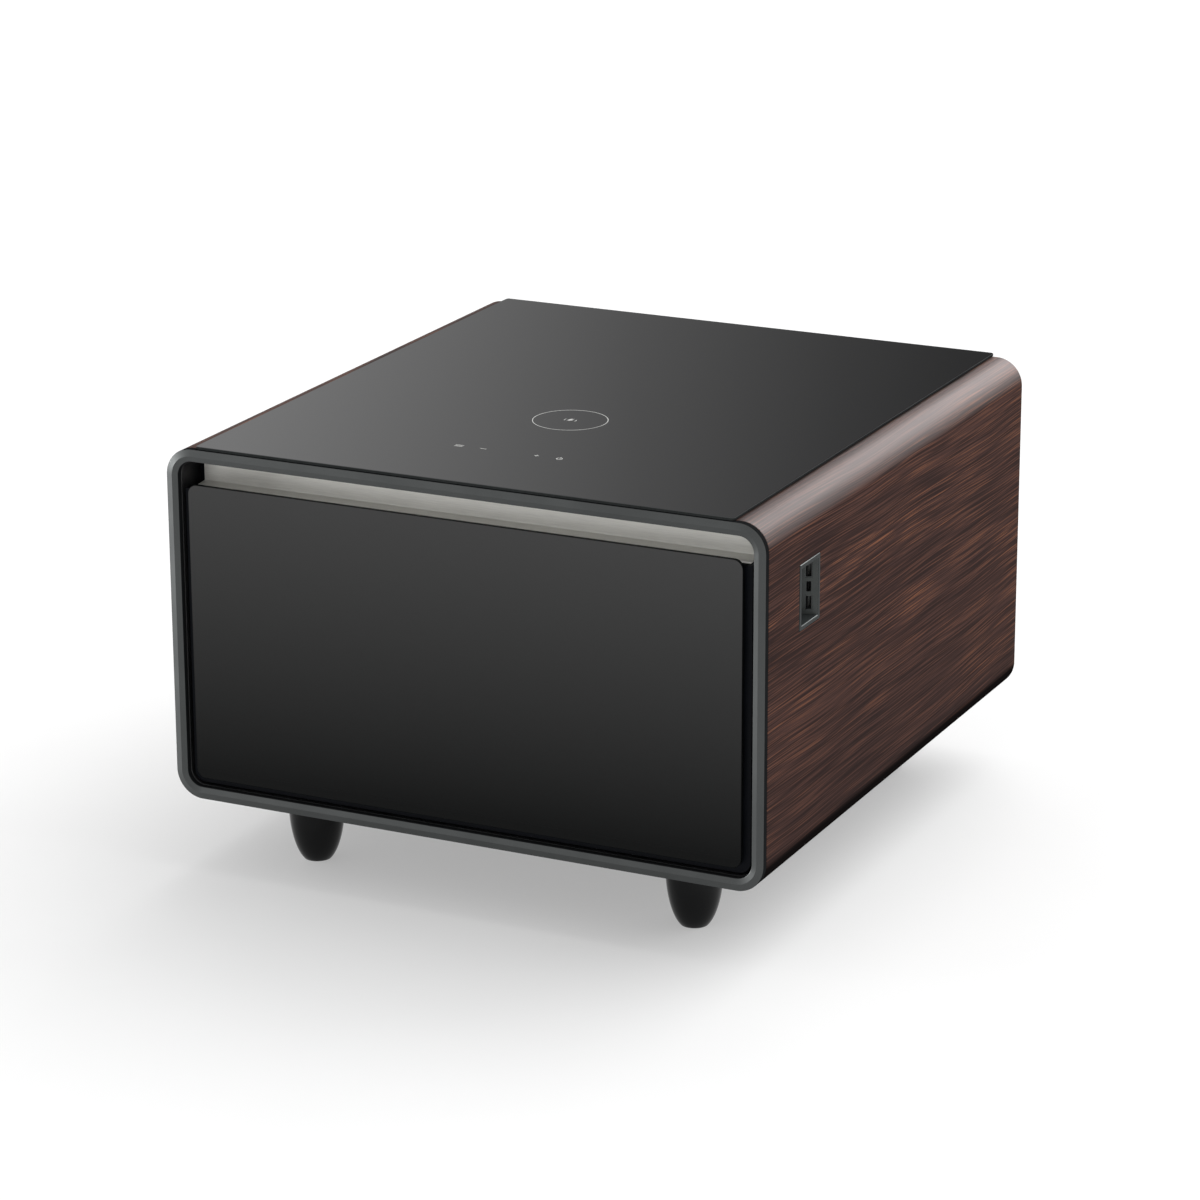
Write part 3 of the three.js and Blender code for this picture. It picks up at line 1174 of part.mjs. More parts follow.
function powerInlet() {
  const middle = insideBottom + INLET_LEVEL + INLET_HEIGHT / 2;
  const block = slab(around(inletX, INLET_WIDTH / 2), [inletFront, rearPanelRear], around(middle, INLET_HEIGHT / 2));
  const flangeX = around(inletX, INLET_WIDTH / 2 + INLET_FLANGE);
  const flangeRun = [rearPanelFront - FIT - INLET_FLANGE_WALL, rearPanelFront - FIT];
  const flange = slab(flangeX, flangeRun, around(middle, INLET_HEIGHT / 2 + INLET_WALL));
  const cavityX = around(inletX, INLET_WIDTH / 2 - INLET_WALL);
  const floor = rearPanelRear - INLET_CAVITY_DEPTH;
  const cavity = slab(cavityX, [floor, rearPanelRear + OVERRUN], around(middle, INLET_HEIGHT / 2 - INLET_WALL));
  const pins = [[-PIN_PITCH, 0], [0, PIN_RAISE], [PIN_PITCH, 0]].map(([x, z]) => {
    return slab(around(inletX + x, PIN_WIDTH / 2), [floor - INLET_WALL, floor + PIN_LENGTH], around(middle + z, PIN_HEIGHT / 2));
  });
  return join(cut(join(block, flange), cavity), ...pins);
}

function inletHarness() {
  const low = insideBottom + INLET_LEVEL + INLET_HEIGHT / 2;
  const high = (controlBottom + controlTop) / 2;
  const y = bulkheadRear + CONTROL_DEPTH / 2;
  return tube(route([
    [inletX, inletFront - FIT, low],
    [inletX, y, low],
    [inletX, y, high],
    [condenserX - CONTROL_LENGTH / 2 - FIT, y, high],
  ]), HARNESS_RADIUS);
}

function controlBox() {
  const across = around(condenserX, CONTROL_LENGTH / 2);
  const outline = outlineOf(rounded(across, [controlBottom, controlTop], CONTROL_ARRIS * 2, SMALL_STEPS));
  return alongY(outline, [bulkheadRear + FIT, bulkheadRear + FIT + CONTROL_DEPTH], CONTROL_ARRIS);
}

// Assembly
add(cabinet, 'left_side_panel', sidePanel(-1), walnut);
add(cabinet, 'right_side_panel', rightSidePanel(), walnut);
add(cabinet, 'top_deck', topDeck(), board);
add(cabinet, 'base_panel', basePanel(), board);
add(cabinet, 'front_bezel', frontBezel(), bezelPaint);
add(cabinet, 'throat_ring', throatRing(), blackPlastic);
add(cabinet, 'glass_top', glassTop(), blackGlass);
add(cabinet, 'glass_seal', glassSeal(), rubber);
add(cabinet, 'charger_coil', chargerCoil(), copper);
add(cabinet, 'charger_board', chargerBoard(), boardGreen);
add(cabinet, 'touch_board', touchBoard(), boardGreen);
add(cabinet, 'inner_liner', innerLiner(), whitePlastic);
add(cabinet, 'foam_insulation', foamInsulation(), foamFinish);
add(cabinet, 'bulkhead', bulkhead(), zincSteel);
add(cabinet, 'rear_panel', rearPanel(), blackSteel);
screwPlaces.forEach(([name, x, z]) => add(cabinet, name, rearScrew(x, z), zincSteel));
legPlaces.forEach(([name, side, y]) => add(cabinet, name, leg(side, y), legGloss));
add(cabinet, 'port_housing', portHousing(), rimMetal);
const [usbAcross, usbUp] = [USB_A_WALL / 2, USB_A_LENGTH / 2];
add(cabinet, 'usb_a_upper', usbSocket(usbAcross, usbUp, USB_A_REACH, USB_A_SHELL, 1), zincSteel);
add(cabinet, 'usb_a_lower', usbSocket(usbAcross, usbUp, USB_A_REACH, USB_A_SHELL, -1), zincSteel);
add(cabinet, 'usb_c_socket', usbSocket(USB_C_WALL / 2, USB_C_LENGTH / 2, USB_C_REACH, USB_C_SHELL, 0), zincSteel);
add(cabinet, 'usb_board', usbBoard(), boardGreen);
add(cabinet, 'evaporator', evaporator(), aluminium);
add(cabinet, 'liner_lamp', linerLamp(), lampFinish);
add(cabinet, 'compressor_mount', mountPlate(), zincSteel);
add(cabinet, 'compressor_damper', damper(), rubber);
add(cabinet, 'compressor', compressor(), blackSteel);
add(cabinet, 'condenser', condenser(), copper);
add(cabinet, 'fan_shroud', fanShroud(), blackPlastic);
add(cabinet, 'fan_motor', fanMotor(), blackSteel);
add(cabinet, 'discharge_line', dischargeLine(), copper);
add(cabinet, 'liquid_line', liquidLine(), copper);
add(cabinet, 'filter_drier', filterDrier(), copper);
add(cabinet, 'capillary_tube', capillaryTube(), copper);
add(cabinet, 'suction_line', suctionLine(), copper);
add(cabinet, 'power_inlet', powerInlet(), blackPlastic);
add(cabinet, 'inlet_harness', inletHarness(), rubber);
add(cabinet, 'control_box', controlBox(), whitePlastic);
add(drawer, 'door_glass', doorGlass(), blackGlass);
add(drawer, 'door_frame', doorFrame(), frameBlue);
add(drawer, 'grip_backing', gripBacking(), frameBlue);
add(drawer, 'door_foam', doorFoam(), foamFinish);
add(drawer, 'door_inner_panel', doorInnerPanel(), whitePlastic);
add(drawer, 'door_gasket', doorGasket(), greyRubber);
add(drawer, 'pull_channel', pullChannel(), stainless);
add(drawer, 'drawer_bin', drawerBin(), whitePlastic);
add(drawer, 'bin_divider', binDivider(), whitePlastic);
sides.forEach(([name, side]) => {
  add(cabinet, `outer_runner_${name}`, outerRunner(side), zincSteel);
  add(middleRunners, `middle_runner_${name}`, middleRunner(side), zincSteel);
  add(drawer, `inner_runner_${name}`, innerRunner(side), zincSteel);
});
add(fan, 'fan_impeller', fanImpeller(), blackPlastic);

const table = new THREE.Group();
table.add(cabinet, drawer, middleRunners, fan);

export default table;
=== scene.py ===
"""A refrigerator coffee table, dressed for a studio photograph.

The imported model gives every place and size. Each class stands for one sub-assembly: it holds its sizes,
works out its surfaces as arrays and dresses them. Lengths are metres, +Z is up, and the drawer opens
towards -Y.
"""

import logging
import math
from dataclasses import dataclass, field
from enum import Enum
from functools import lru_cache

import bpy
import numpy as np
from mathutils import Matrix, Vector


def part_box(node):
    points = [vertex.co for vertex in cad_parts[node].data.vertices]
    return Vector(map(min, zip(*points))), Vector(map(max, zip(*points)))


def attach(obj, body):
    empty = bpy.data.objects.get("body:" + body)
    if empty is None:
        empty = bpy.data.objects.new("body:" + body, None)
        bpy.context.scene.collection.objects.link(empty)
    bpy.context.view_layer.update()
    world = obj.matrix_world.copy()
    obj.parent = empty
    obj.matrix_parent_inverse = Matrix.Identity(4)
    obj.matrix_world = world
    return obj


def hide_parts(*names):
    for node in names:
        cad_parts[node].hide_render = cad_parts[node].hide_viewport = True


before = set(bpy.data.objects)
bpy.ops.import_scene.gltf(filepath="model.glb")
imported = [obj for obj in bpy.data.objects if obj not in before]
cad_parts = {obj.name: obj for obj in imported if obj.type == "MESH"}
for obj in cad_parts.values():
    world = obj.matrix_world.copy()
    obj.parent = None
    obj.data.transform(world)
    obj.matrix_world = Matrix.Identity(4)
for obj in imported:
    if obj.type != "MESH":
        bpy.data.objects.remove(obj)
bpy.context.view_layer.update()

LOG = logging.getLogger("coffee_table")
MM = 0.001
Colour = tuple[float, float, float]
Point = tuple[float, float, float]
Pair = tuple[float, float]
Window = tuple[float, float, float, float]
UV_MAP = "surface"
SMOOTH_ANGLE = math.radians(32.0)
EDGE_SEGMENTS = 3
LEAST_RADIUS = 0.05 * MM


class Facing(Enum):
    """Which axes an outline lies in, and the axis it is carried along: (across, up, along)."""

    FRONT = (0, 2, 1)
    TOP = (0, 1, 2)
    SIDE = (1, 2, 0)


class Body(Enum):
    """The moving bodies of the table."""

    CABINET = "cabinet"
    DRAWER = "drawer"


# ---- surfaces


@dataclass
class Shell:
    """One surface: points, four-cornered faces, end caps, and what dresses each face."""

    points: np.ndarray
    quads: np.ndarray
    caps: list[np.ndarray] = field(default_factory=list)
    bands: np.ndarray | None = None
    cap_band: int = 0
    uvs: np.ndarray | None = None

    def volume(self) -> float:
        """Six times the enclosed volume: the sum of a . (b x c) over the triangles of every face.

        Returns:
            The sum, below zero when the faces look inwards.
        """
        corners = [self.points[self.quads[:, [0, 1, 2]]], self.points[self.quads[:, [0, 2, 3]]]]
        for cap in self.caps:
            fan = np.stack([np.full(len(cap) - 2, cap[0]), cap[1:-1], cap[2:]], axis=1)
            corners.append(self.points[fan])
        triangles = np.concatenate(corners)
        crossed = np.cross(triangles[:, 1], triangles[:, 2])
        return float(np.einsum("ij,ij->", triangles[:, 0], crossed))

    def outward(self) -> "Shell":
        """Turns every face round if the closed surface is inside out.

        Returns:
            The same surface.
        """
        if self.volume() < 0:
            self.quads = self.quads[:, ::-1]
            self.caps = [cap[::-1] for cap in self.caps]
        return self

    def towards(self, direction: Point) -> "Shell":
        """Turns the faces of an open surface so that they look along a direction.

        Args:
            direction: where the front of the surface looks, as (x, y, z).

        Returns:
            The same surface.
        """
        a, b, d = (self.points[self.quads[:, i]] for i in (0, 1, 3))
        normals = np.cross(b - a, d - a)
        if float((normals @ np.array(direction)).sum()) < 0:
            self.quads = self.quads[:, ::-1]
        return self


def grid_quads(rows: int, columns: int, close_rows: bool, close_columns: bool) -> np.ndarray:
    """Faces of a grid: corner numbers i * columns + j and their neighbours, wrapped where it closes.

    Args:
        rows: number of rows of points.
        columns: number of points in a row.
        close_rows: whether the last row joins the first.
        close_columns: whether each row closes on itself.

    Returns:
        One row of four corner numbers for each face, row of faces by row of faces.
    """
    i = np.arange(rows if close_rows else rows - 1)[:, None]
    j = np.arange(columns if close_columns else columns - 1)[None, :]
    below = (i + 1) % rows
    after = (j + 1) % columns
    corners = [i * columns + j, i * columns + after, below * columns + after, below * columns + j]
    return np.stack(np.broadcast_arrays(*corners), axis=-1).reshape(-1, 4)


def rows_shell(rows: np.ndarray, ring: bool, bands: list[int] | None = None) -> Shell:
    """A closed surface over rows of points, each of which closes on itself.

    Args:
        rows: points as (rows, columns, 3).
        ring: whether the last row joins the first. Otherwise both ends get a cap.
        bands: the finish of each stretch between two rows, the first one if left out.

    Returns:
        The surface, with its faces outwards.
    """
    count, columns = rows.shape[:2]
    quads = grid_quads(count, columns, ring, True)
    caps = [] if ring else [np.arange(columns)[::-1], np.arange(columns) + (count - 1) * columns]
    numbers = None if bands is None else np.repeat(np.array(bands), columns)
    return Shell(rows.reshape(-1, 3), quads, caps, numbers).outward()


def carried_outline(facing: Facing, low: Pair, high: Pair, rows: list | np.ndarray, steps: int) -> np.ndarray:
    """Rows of points round a rounded rectangle, for each (inset, along, radius).

    A corner's middle stands inset + radius inside the corner of the box, and a point of the row is the
    middle plus radius times (cos t, sin t), with t over the corner's quarter turn.

    Args:
        facing: the axes of the outline.
        low: lowest corner of the box across and up.
        high: highest corner of the box across and up.
        rows: (inset, along, radius) for each row.
        steps: stretches in a corner's quarter turn.

    Returns:
        Points as (rows, columns, 3).
    """
    rows = np.asarray(rows, float)
    inset, along, radius = rows.T[:, :, None, None]
    starts = np.array([-0.5, 0.0, 0.5, 1.0])[:, None] * math.pi
    turn = (starts + np.linspace(0, math.pi / 2, steps + 1))[None]
    # The four corners' places across and up, and which way is inwards from each.
    ends = [(high[0], high[0], low[0], low[0]), (low[1], high[1], high[1], low[1])]
    across_end, up_end = np.array(ends)[:, None, :, None]
    across_in, up_in = np.array([(-1, -1, 1, 1), (1, -1, -1, 1)])[:, None, :, None]
    across = across_end + across_in * (inset + radius) + radius * np.cos(turn)
    up = up_end + up_in * (inset + radius) + radius * np.sin(turn)
    points = np.empty((len(rows), across[0].size, 3))
    a, b, c = facing.value
    points[..., a] = across.reshape(len(rows), -1)
    points[..., b] = up.reshape(len(rows), -1)
    points[..., c] = along[:, 0]
    return points


def ring_rows(profile: list[Pair], radius: float) -> np.ndarray:
    """Rows for a carried outline whose corners stay concentric: radius falls as the inset grows."""
    pairs = np.array(profile)
    return np.column_stack([pairs, np.maximum(radius - pairs[:, 0], LEAST_RADIUS)])


def arc(centre: Pair, radius: float, start: float, sweep: float, steps: int = 5) -> list[Pair]:
    """Points of an arc: centre plus radius times (cos t, sin t).

    Args:
        centre: middle of the arc.
        radius: its radius.
        start: first angle, in degrees.
        sweep: how far it turns, in degrees.
        steps: number of stretches.

    Returns:
        The points as pairs.
    """
    turn = np.radians(start + sweep * np.linspace(0, 1, steps + 1))
    return list(zip(centre[0] + radius * np.cos(turn), centre[1] + radius * np.sin(turn)))


def fillet(points: list[Pair], radius: float, steps: int = 6) -> np.ndarray:
    """A path with rounded corners: each corner P becomes the curve (1-t)^2 A + 2t(1-t) P + t^2 B.

    Args:
        points: corners of the path.
        radius: how far before and after a corner the curve starts and ends.
        steps: number of stretches in a curve.

    Returns:
        The path's points as (n, 2).
    """
    path = np.array(points, float)
    before, corner, after = path[:-2], path[1:-1], path[2:]
    unit_in = (before - corner) / np.linalg.norm(before - corner, axis=1, keepdims=True)
    unit_out = (after - corner) / np.linalg.norm(after - corner, axis=1, keepdims=True)
    t = np.linspace(0, 1, steps + 1)[None, :, None]
    start, end = (corner + unit_in * radius)[:, None], (corner + unit_out * radius)[:, None]
    curves = (1 - t) ** 2 * start + 2 * t * (1 - t) * corner[:, None] + t**2 * end
    return np.vstack([path[:1], curves.reshape(-1, 2), path[-1:]])


def sheet_section(path: np.ndarray, wall: float) -> np.ndarray:
    """The closed outline of a bent sheet: the path moved half the wall to each side along its normals.

    Args:
        path: the sheet's middle line as (n, 2).
        wall: its thickness.

    Returns:
        Outline points as (2n, 2).
    """
    along = np.gradient(path, axis=0)
    along /= np.linalg.norm(along, axis=1, keepdims=True)
    normal = np.column_stack([along[:, 1], -along[:, 0]])
    return np.vstack([path + normal * wall / 2, (path - normal * wall / 2)[::-1]])


def extruded(section: np.ndarray, facing: Facing, ends: Pair) -> Shell:
    """A closed outline carried straight along the facing's third axis.

    Args:
        section: outline points as (n, 2).
        facing: the axes of the outline.
        ends: where it starts and ends along the third axis.

    Returns:
        The closed surface.
    """
    rows = np.empty((len(ends), len(section), 3))
    a, b, c = facing.value
    rows[..., a] = section[:, 0]
    rows[..., b] = section[:, 1]
    rows[..., c] = np.array(ends)[:, None]
    return rows_shell(rows, False)


def lathe(profile: list[Pair], centre: Pair, sides: int = 72) -> Shell:
    """A round surface about an upright line: (cx + r cos t, cy + r sin t, z) for each (r, z).

    Args:
        profile: (radius, height) pairs from one end to the other.
        centre: where the line stands, as (x, y).
        sides: points in a turn.

    Returns:
        The closed surface, with a cap at each end.
    """
    turn = np.arange(sides) * 2 * math.pi / sides
    pairs = np.array(profile)
    rows = np.empty((len(pairs), sides, 3))
    rows[..., 0] = centre[0] + pairs[:, :1] * np.cos(turn)
    rows[..., 1] = centre[1] + pairs[:, :1] * np.sin(turn)
    rows[..., 2] = pairs[:, 1:]
    return rows_shell(rows, False)


def windowed_sheet(across: np.ndarray, along: np.ndarray, place: np.ndarray, windows: list[Window]) -> Shell:
    """An open sheet over a grid of stations, without the faces whose middle lies in a window.

    Args:
        across: station values of the columns.
        along: station values of the rows.
        place: the points, as (rows, columns, 3).
        windows: (low across, high across, low along, high along) of each window.

    Returns:
        The open surface, with the station values as its UVs.
    """
    quads = grid_quads(len(along), len(across), False, False)
    mid_across, mid_along = np.meshgrid((across[1:] + across[:-1]) / 2, (along[1:] + along[:-1]) / 2)
    keep = np.ones(mid_across.shape, bool)
    for x0, x1, y0, y1 in windows:
        keep &= ~((mid_across > x0) & (mid_across < x1) & (mid_along > y0) & (mid_along < y1))
    uvs = np.stack(np.meshgrid(across, along), axis=-1).reshape(-1, 2)
    return Shell(place.reshape(-1, 3), quads[keep.ravel()], uvs=uvs)


@dataclass
class Piece:
    """A finished piece: its surfaces, what dresses them, and what it rides on and stands for.

    Its bevel rounds the edges that are sharper than bevel_angle, in degrees, and solidify gives an open
    sheet its wall, inwards.
    """

    name: str
    body: Body
    slot: str
    finishes: list["Dressing"]
    shells: list[Shell]
    replaces: tuple[str, ...] = ()
    bevel: float = 0.0
    bevel_angle: float = 50.0
    solidify: float = 0.0

    def build(self) -> bpy.types.Object:
        """Puts the surfaces into one mesh, finishes its edges and ties it to its body.

        Returns:
            The new object, at the origin.
        """
        faces: list[list[int]] = []
        bands: list[int] = []
        offset = 0
        for shell in self.shells:
            faces += (shell.quads + offset).tolist() + [(cap + offset).tolist() for cap in shell.caps]
            numbers = np.zeros(len(shell.quads), int) if shell.bands is None else shell.bands
            bands += numbers.tolist() + [shell.cap_band] * len(shell.caps)
            offset += len(shell.points)
        mesh = bpy.data.meshes.new(self.name)
        points = np.concatenate([shell.points for shell in self.shells])
        mesh.from_pydata(points.tolist(), [], faces)
        mesh.polygons.foreach_set("material_index", bands)
        for finish in self.finishes:
            mesh.materials.append(finish.material())
        if all(shell.uvs is not None for shell in self.shells):
            self.add_uvs(mesh)
        mesh.polygons.foreach_set("use_smooth", [True] * len(mesh.polygons))
        mesh.set_sharp_from_angle(angle=SMOOTH_ANGLE)
        mesh.validate()
        mesh.update()
        piece = bpy.data.objects.new(self.name, mesh)
        bpy.context.scene.collection.objects.link(piece)
        self.add_modifiers(piece)
        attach(piece, self.body.value)
        if self.replaces:
            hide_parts(*self.replaces)
        LOG.info("%s: %d faces", self.name, len(mesh.polygons))
        return piece

    def add_uvs(self, mesh: bpy.types.Mesh) -> None:
        """Gives each face corner the UV of its point.

        Args:
            mesh: the piece's mesh.
        """
        layer = mesh.uv_layers.new(name=UV_MAP)
        corners = np.empty(len(mesh.loops), np.int64)
        mesh.loops.foreach_get("vertex_index", corners)
        uvs = np.concatenate([shell.uvs for shell in self.shells])
        layer.data.foreach_set("uv", uvs[corners].ravel())

    def add_modifiers(self, piece: bpy.types.Object) -> None:
        """Adds the wall thickness and the rounded edges that the piece asks for.

        Args:
            piece: the piece's object.
        """
        if self.solidify:
            wall = piece.modifiers.new("wall", "SOLIDIFY")
            wall.thickness = self.solidify
            wall.offset = -1
            wall.use_even_offset = True
        if self.bevel:
            edge = piece.modifiers.new("edge", "BEVEL")
            edge.width = self.bevel
            edge.segments = EDGE_SEGMENTS
            edge.limit_method = "ANGLE"
            edge.angle_limit = math.radians(self.bevel_angle)
            edge.harden_normals = True


# ---- finishes


Socket = bpy.types.NodeSocket
# A Mix node has a set of sockets of the same names for each kind of data: these are the colour's.
MIX_FACTOR, MIX_FIRST, MIX_SECOND, MIX_RESULT = 0, 6, 7, 2
SOCKET_KINDS = {type(None): "NodeSocketVector", tuple: "NodeSocketColor", float: "NodeSocketFloat"}
GRAIN_OUTPUTS = {"Colour": "NodeSocketColor", "Roughness": "NodeSocketFloat", "Height": "NodeSocketFloat"}
GLOSS_OUTPUTS = {"Roughness": "NodeSocketFloat", "Dust": "NodeSocketFloat"}
GRAIN_DEPTH = 0.2 * MM
UNSTRETCHED = (1.0, 1.0, 1.0)


def linear(red: int, green: int, blue: int) -> Colour:
    """A colour as light, from its 0 to 255 values on a screen: ((c + 0.055) / 1.055) ^ 2.4."""
    values = np.array([red, green, blue]) / 255
    return tuple(np.where(values > 0.04045, ((values + 0.055) / 1.055) ** 2.4, values / 12.92).tolist())


class Nodes:
    """A short way to place and join the nodes of a tree. Its methods take values and sockets alike."""

    def __init__(self, tree: bpy.types.NodeTree) -> None:
        """Keeps the tree."""
        self.tree = tree

    def add(self, kind: str, settings: dict | None = None, **inputs: object) -> bpy.types.Node:
        """Places a node, sets its properties, and sets or joins its inputs.

        Args:
            kind: the node's type.
            settings: properties of the node.
            **inputs: input sockets by name, with underscores for spaces.

        Returns:
            The node.
        """
        node = self.tree.nodes.new(kind)
        for key, value in (settings or {}).items():
            setattr(node, key, value)
        for key, value in inputs.items():
            self.feed(node.inputs[key.replace("_", " ")], value)
        return node

    def feed(self, socket: Socket, value: object) -> None:
        """Joins a socket to another, or gives it a value.

        Args:
            socket: the input to feed.
            value: the socket that feeds it, or its value.
        """
        if isinstance(value, Socket):
            self.tree.links.new(value, socket)
        else:
            socket.default_value = value

    def math(self, operation: str, first: object, second: object = 0.0, clamp: bool = False) -> Socket:
        """The result of one sum.

        Args:
            operation: what to do with the two.
            first: what it starts from.
            second: what is added, taken away, and so on.
            clamp: whether the result is kept between 0 and 1.

        Returns:
            The result.
        """
        node = self.add("ShaderNodeMath", {"operation": operation, "use_clamp": clamp})
        self.feed(node.inputs[0], first)
        self.feed(node.inputs[1], second)
        return node.outputs[0]

    def weighted(self, *parts: tuple[object, float]) -> Socket:
        """The sum of value times weight over the parts.

        Args:
            *parts: the value and the weight of each part.

        Returns:
            The sum.
        """
        terms = [self.math("MULTIPLY", value, weight) for value, weight in parts]
        total = terms[0]
        for term in terms[1:]:
            total = self.math("ADD", total, term)
        return total

    def mix(self, factor: object, first: object, second: object) -> Socket:
        """One colour blended into another: first x (1 - factor) + second x factor.

        Args:
            factor: how much of the second there is.
            first: the first colour.
            second: the second colour.

        Returns:
            The blended colour.
        """
        node = self.add("ShaderNodeMix", {"data_type": "RGBA"})
        for number, value in ((MIX_FACTOR, factor), (MIX_FIRST, first), (MIX_SECOND, second)):
            self.feed(node.inputs[number], value)
        return node.outputs[MIX_RESULT]

    def span(self, value: object, low: float, high: float, start: object = 0.0, end: object = 1.0) -> Socket:
        """A value moved from one span to another, t^2 (3 - 2t) of the way with t along the first.

        Args:
            value: what is moved.
            low: where the first span starts.
            high: where the first span ends.
            start: the result at and before low.
            end: the result at and after high.

        Returns:
            The result.
        """
        settings = {"interpolation_type": "SMOOTHSTEP"}
        ends = {"From_Min": low, "From_Max": high, "To_Min": start, "To_Max": end}
        return self.add("ShaderNodeMapRange", settings, Value=value, **ends).outputs[0]

    def noise(self, vector: object, scale: object, detail: float = 4.0, roughness: float = 0.55) -> Socket:
        """Soft noise between about 0.2 and 0.8.

        Args:
            vector: the place.
            scale: grains in a metre.
            detail: how many finer layers it has.
            roughness: how strong each finer layer is against the one before.

        Returns:
            The noise.
        """
        node = self.add("ShaderNodeTexNoise", Vector=vector, Scale=scale, Detail=detail, Roughness=roughness)
        return node.outputs["Fac"]

    def stretched(self, vector: object, scale: Point, rotation: Point = (0.0, 0.0, 0.0)) -> Socket:
        """A place that is scaled and then turned."""
        return self.add("ShaderNodeMapping", Vector=vector, Rotation=rotation, Scale=scale).outputs[0]


class Surface(Nodes):
    """A new material whose shader is joined to its output, and what places its nodes."""

    def __init__(self, name: str) -> None:
        """Makes the material and its shader.

        Args:
            name: the material's name.
        """
        self.material = bpy.data.materials.new(name)
        self.material.use_nodes = True
        super().__init__(self.material.node_tree)
        self.tree.nodes.clear()
        self.shader = self.add("ShaderNodeBsdfPrincipled")
        self.add("ShaderNodeOutputMaterial", Surface=self.shader.outputs[0])

    def place(self) -> Socket:
        """The place on the piece, in metres from its origin."""
        return self.add("ShaderNodeTexCoord").outputs["Object"]

    def dress(self, **inputs: object) -> None:
        """Sets or joins the shader's inputs, which go by name with underscores for spaces."""
        for key, value in inputs.items():
            self.feed(self.shader.inputs[key.replace("_", " ")], value)

    def relief(self, height: Socket, strength: float, depth: float) -> None:
        """Joins a height to the shader's normal."""
        bump = self.add("ShaderNodeBump", Strength=strength, Distance=depth, Height=height)
        self.dress(Normal=bump.outputs[0])

    def wear(self, where: Socket, roughness: Pair) -> Socket:
        """Gives the shader a roughness with faint smears.

        Args:
            where: the place on the piece.
            roughness: roughness where it is clean and where it is smeared.

        Returns:
            The mask of thin dust.
        """
        ends = dict(zip(("Clean", "Smeared"), roughness))
        film = self.add("ShaderNodeGroup", {"node_tree": handled_gloss()}, Vector=where, **ends).outputs
        self.dress(Roughness=film["Roughness"])
        return film["Dust"]


def new_group(
    name: str, inputs: dict[str, object], outputs: dict[str, str]
) -> tuple[bpy.types.NodeTree, Nodes, bpy.types.NodeOutputs, bpy.types.NodeInputs]:
    """An empty shader node group with its sockets.

    Args:
        name: the group's name.
        inputs: value by name: None for a place, a tuple for a colour, a float for a number.
        outputs: socket type by name.

    Returns:
        The group's tree, a placer for its nodes, what the group is given, and where its results go.
    """
    tree = bpy.data.node_groups.new(name, "ShaderNodeTree")
    for label, value in inputs.items():
        socket = tree.interface.new_socket(label, in_out="INPUT", socket_type=SOCKET_KINDS[type(value)])
        if value is not None:
            socket.default_value = value
    for label, kind in outputs.items():
        tree.interface.new_socket(label, in_out="OUTPUT", socket_type=kind)
    nodes = Nodes(tree)
    return tree, nodes, nodes.add("NodeGroupInput").outputs, nodes.add("NodeGroupOutput").inputs


@lru_cache(maxsize=None)
def fine_grain() -> bpy.types.NodeTree:
    """Grain of paint, plastic, metal and rubber: colour, roughness and height from two noises.

    The blend of the two colours follows 0.55 of the fine noise plus 0.45 of the wide one.

    Returns:
        The node group.
    """
    inputs = {
        "Vector": None,
        "Base": (0.5, 0.5, 0.5, 1),
        "Shade": (0.4, 0.4, 0.4, 1),
        "Scale": 900.0,
        "Smooth": 0.3,
        "Rough": 0.5,
    }
    tree, nodes, given, result = new_group("fine_grain", inputs, GRAIN_OUTPUTS)
    fine = nodes.noise(given["Vector"], given["Scale"], 3.0, 0.6)
    wide = nodes.noise(given["Vector"], nodes.math("MULTIPLY", given["Scale"], 0.015), 4.0, 0.5)
    mask = nodes.span(nodes.weighted((fine, 0.55), (wide, 0.45)), 0.36, 0.64)
    nodes.feed(result["Colour"], nodes.mix(mask, given["Shade"], given["Base"]))
    nodes.feed(result["Roughness"], nodes.span(wide, 0.3, 0.7, given["Smooth"], given["Rough"]))
    nodes.feed(result["Height"], fine)
    return tree


# How much each layer of the wood is drawn together along and across the grain, and its detail.
WOOD_LAYERS = {
    "wide": ((1.2, 20.0, 1.0), 2.0),
    "fibre": ((4.5, 190.0, 1.0), 1.0),
    "fine": ((7.0, 620.0, 3.0), 1.0),
    "hair": ((11.0, 1150.0, 5.0), 1.0),
    "pore": ((45.0, 2600.0, 7.0), 1.0),
}


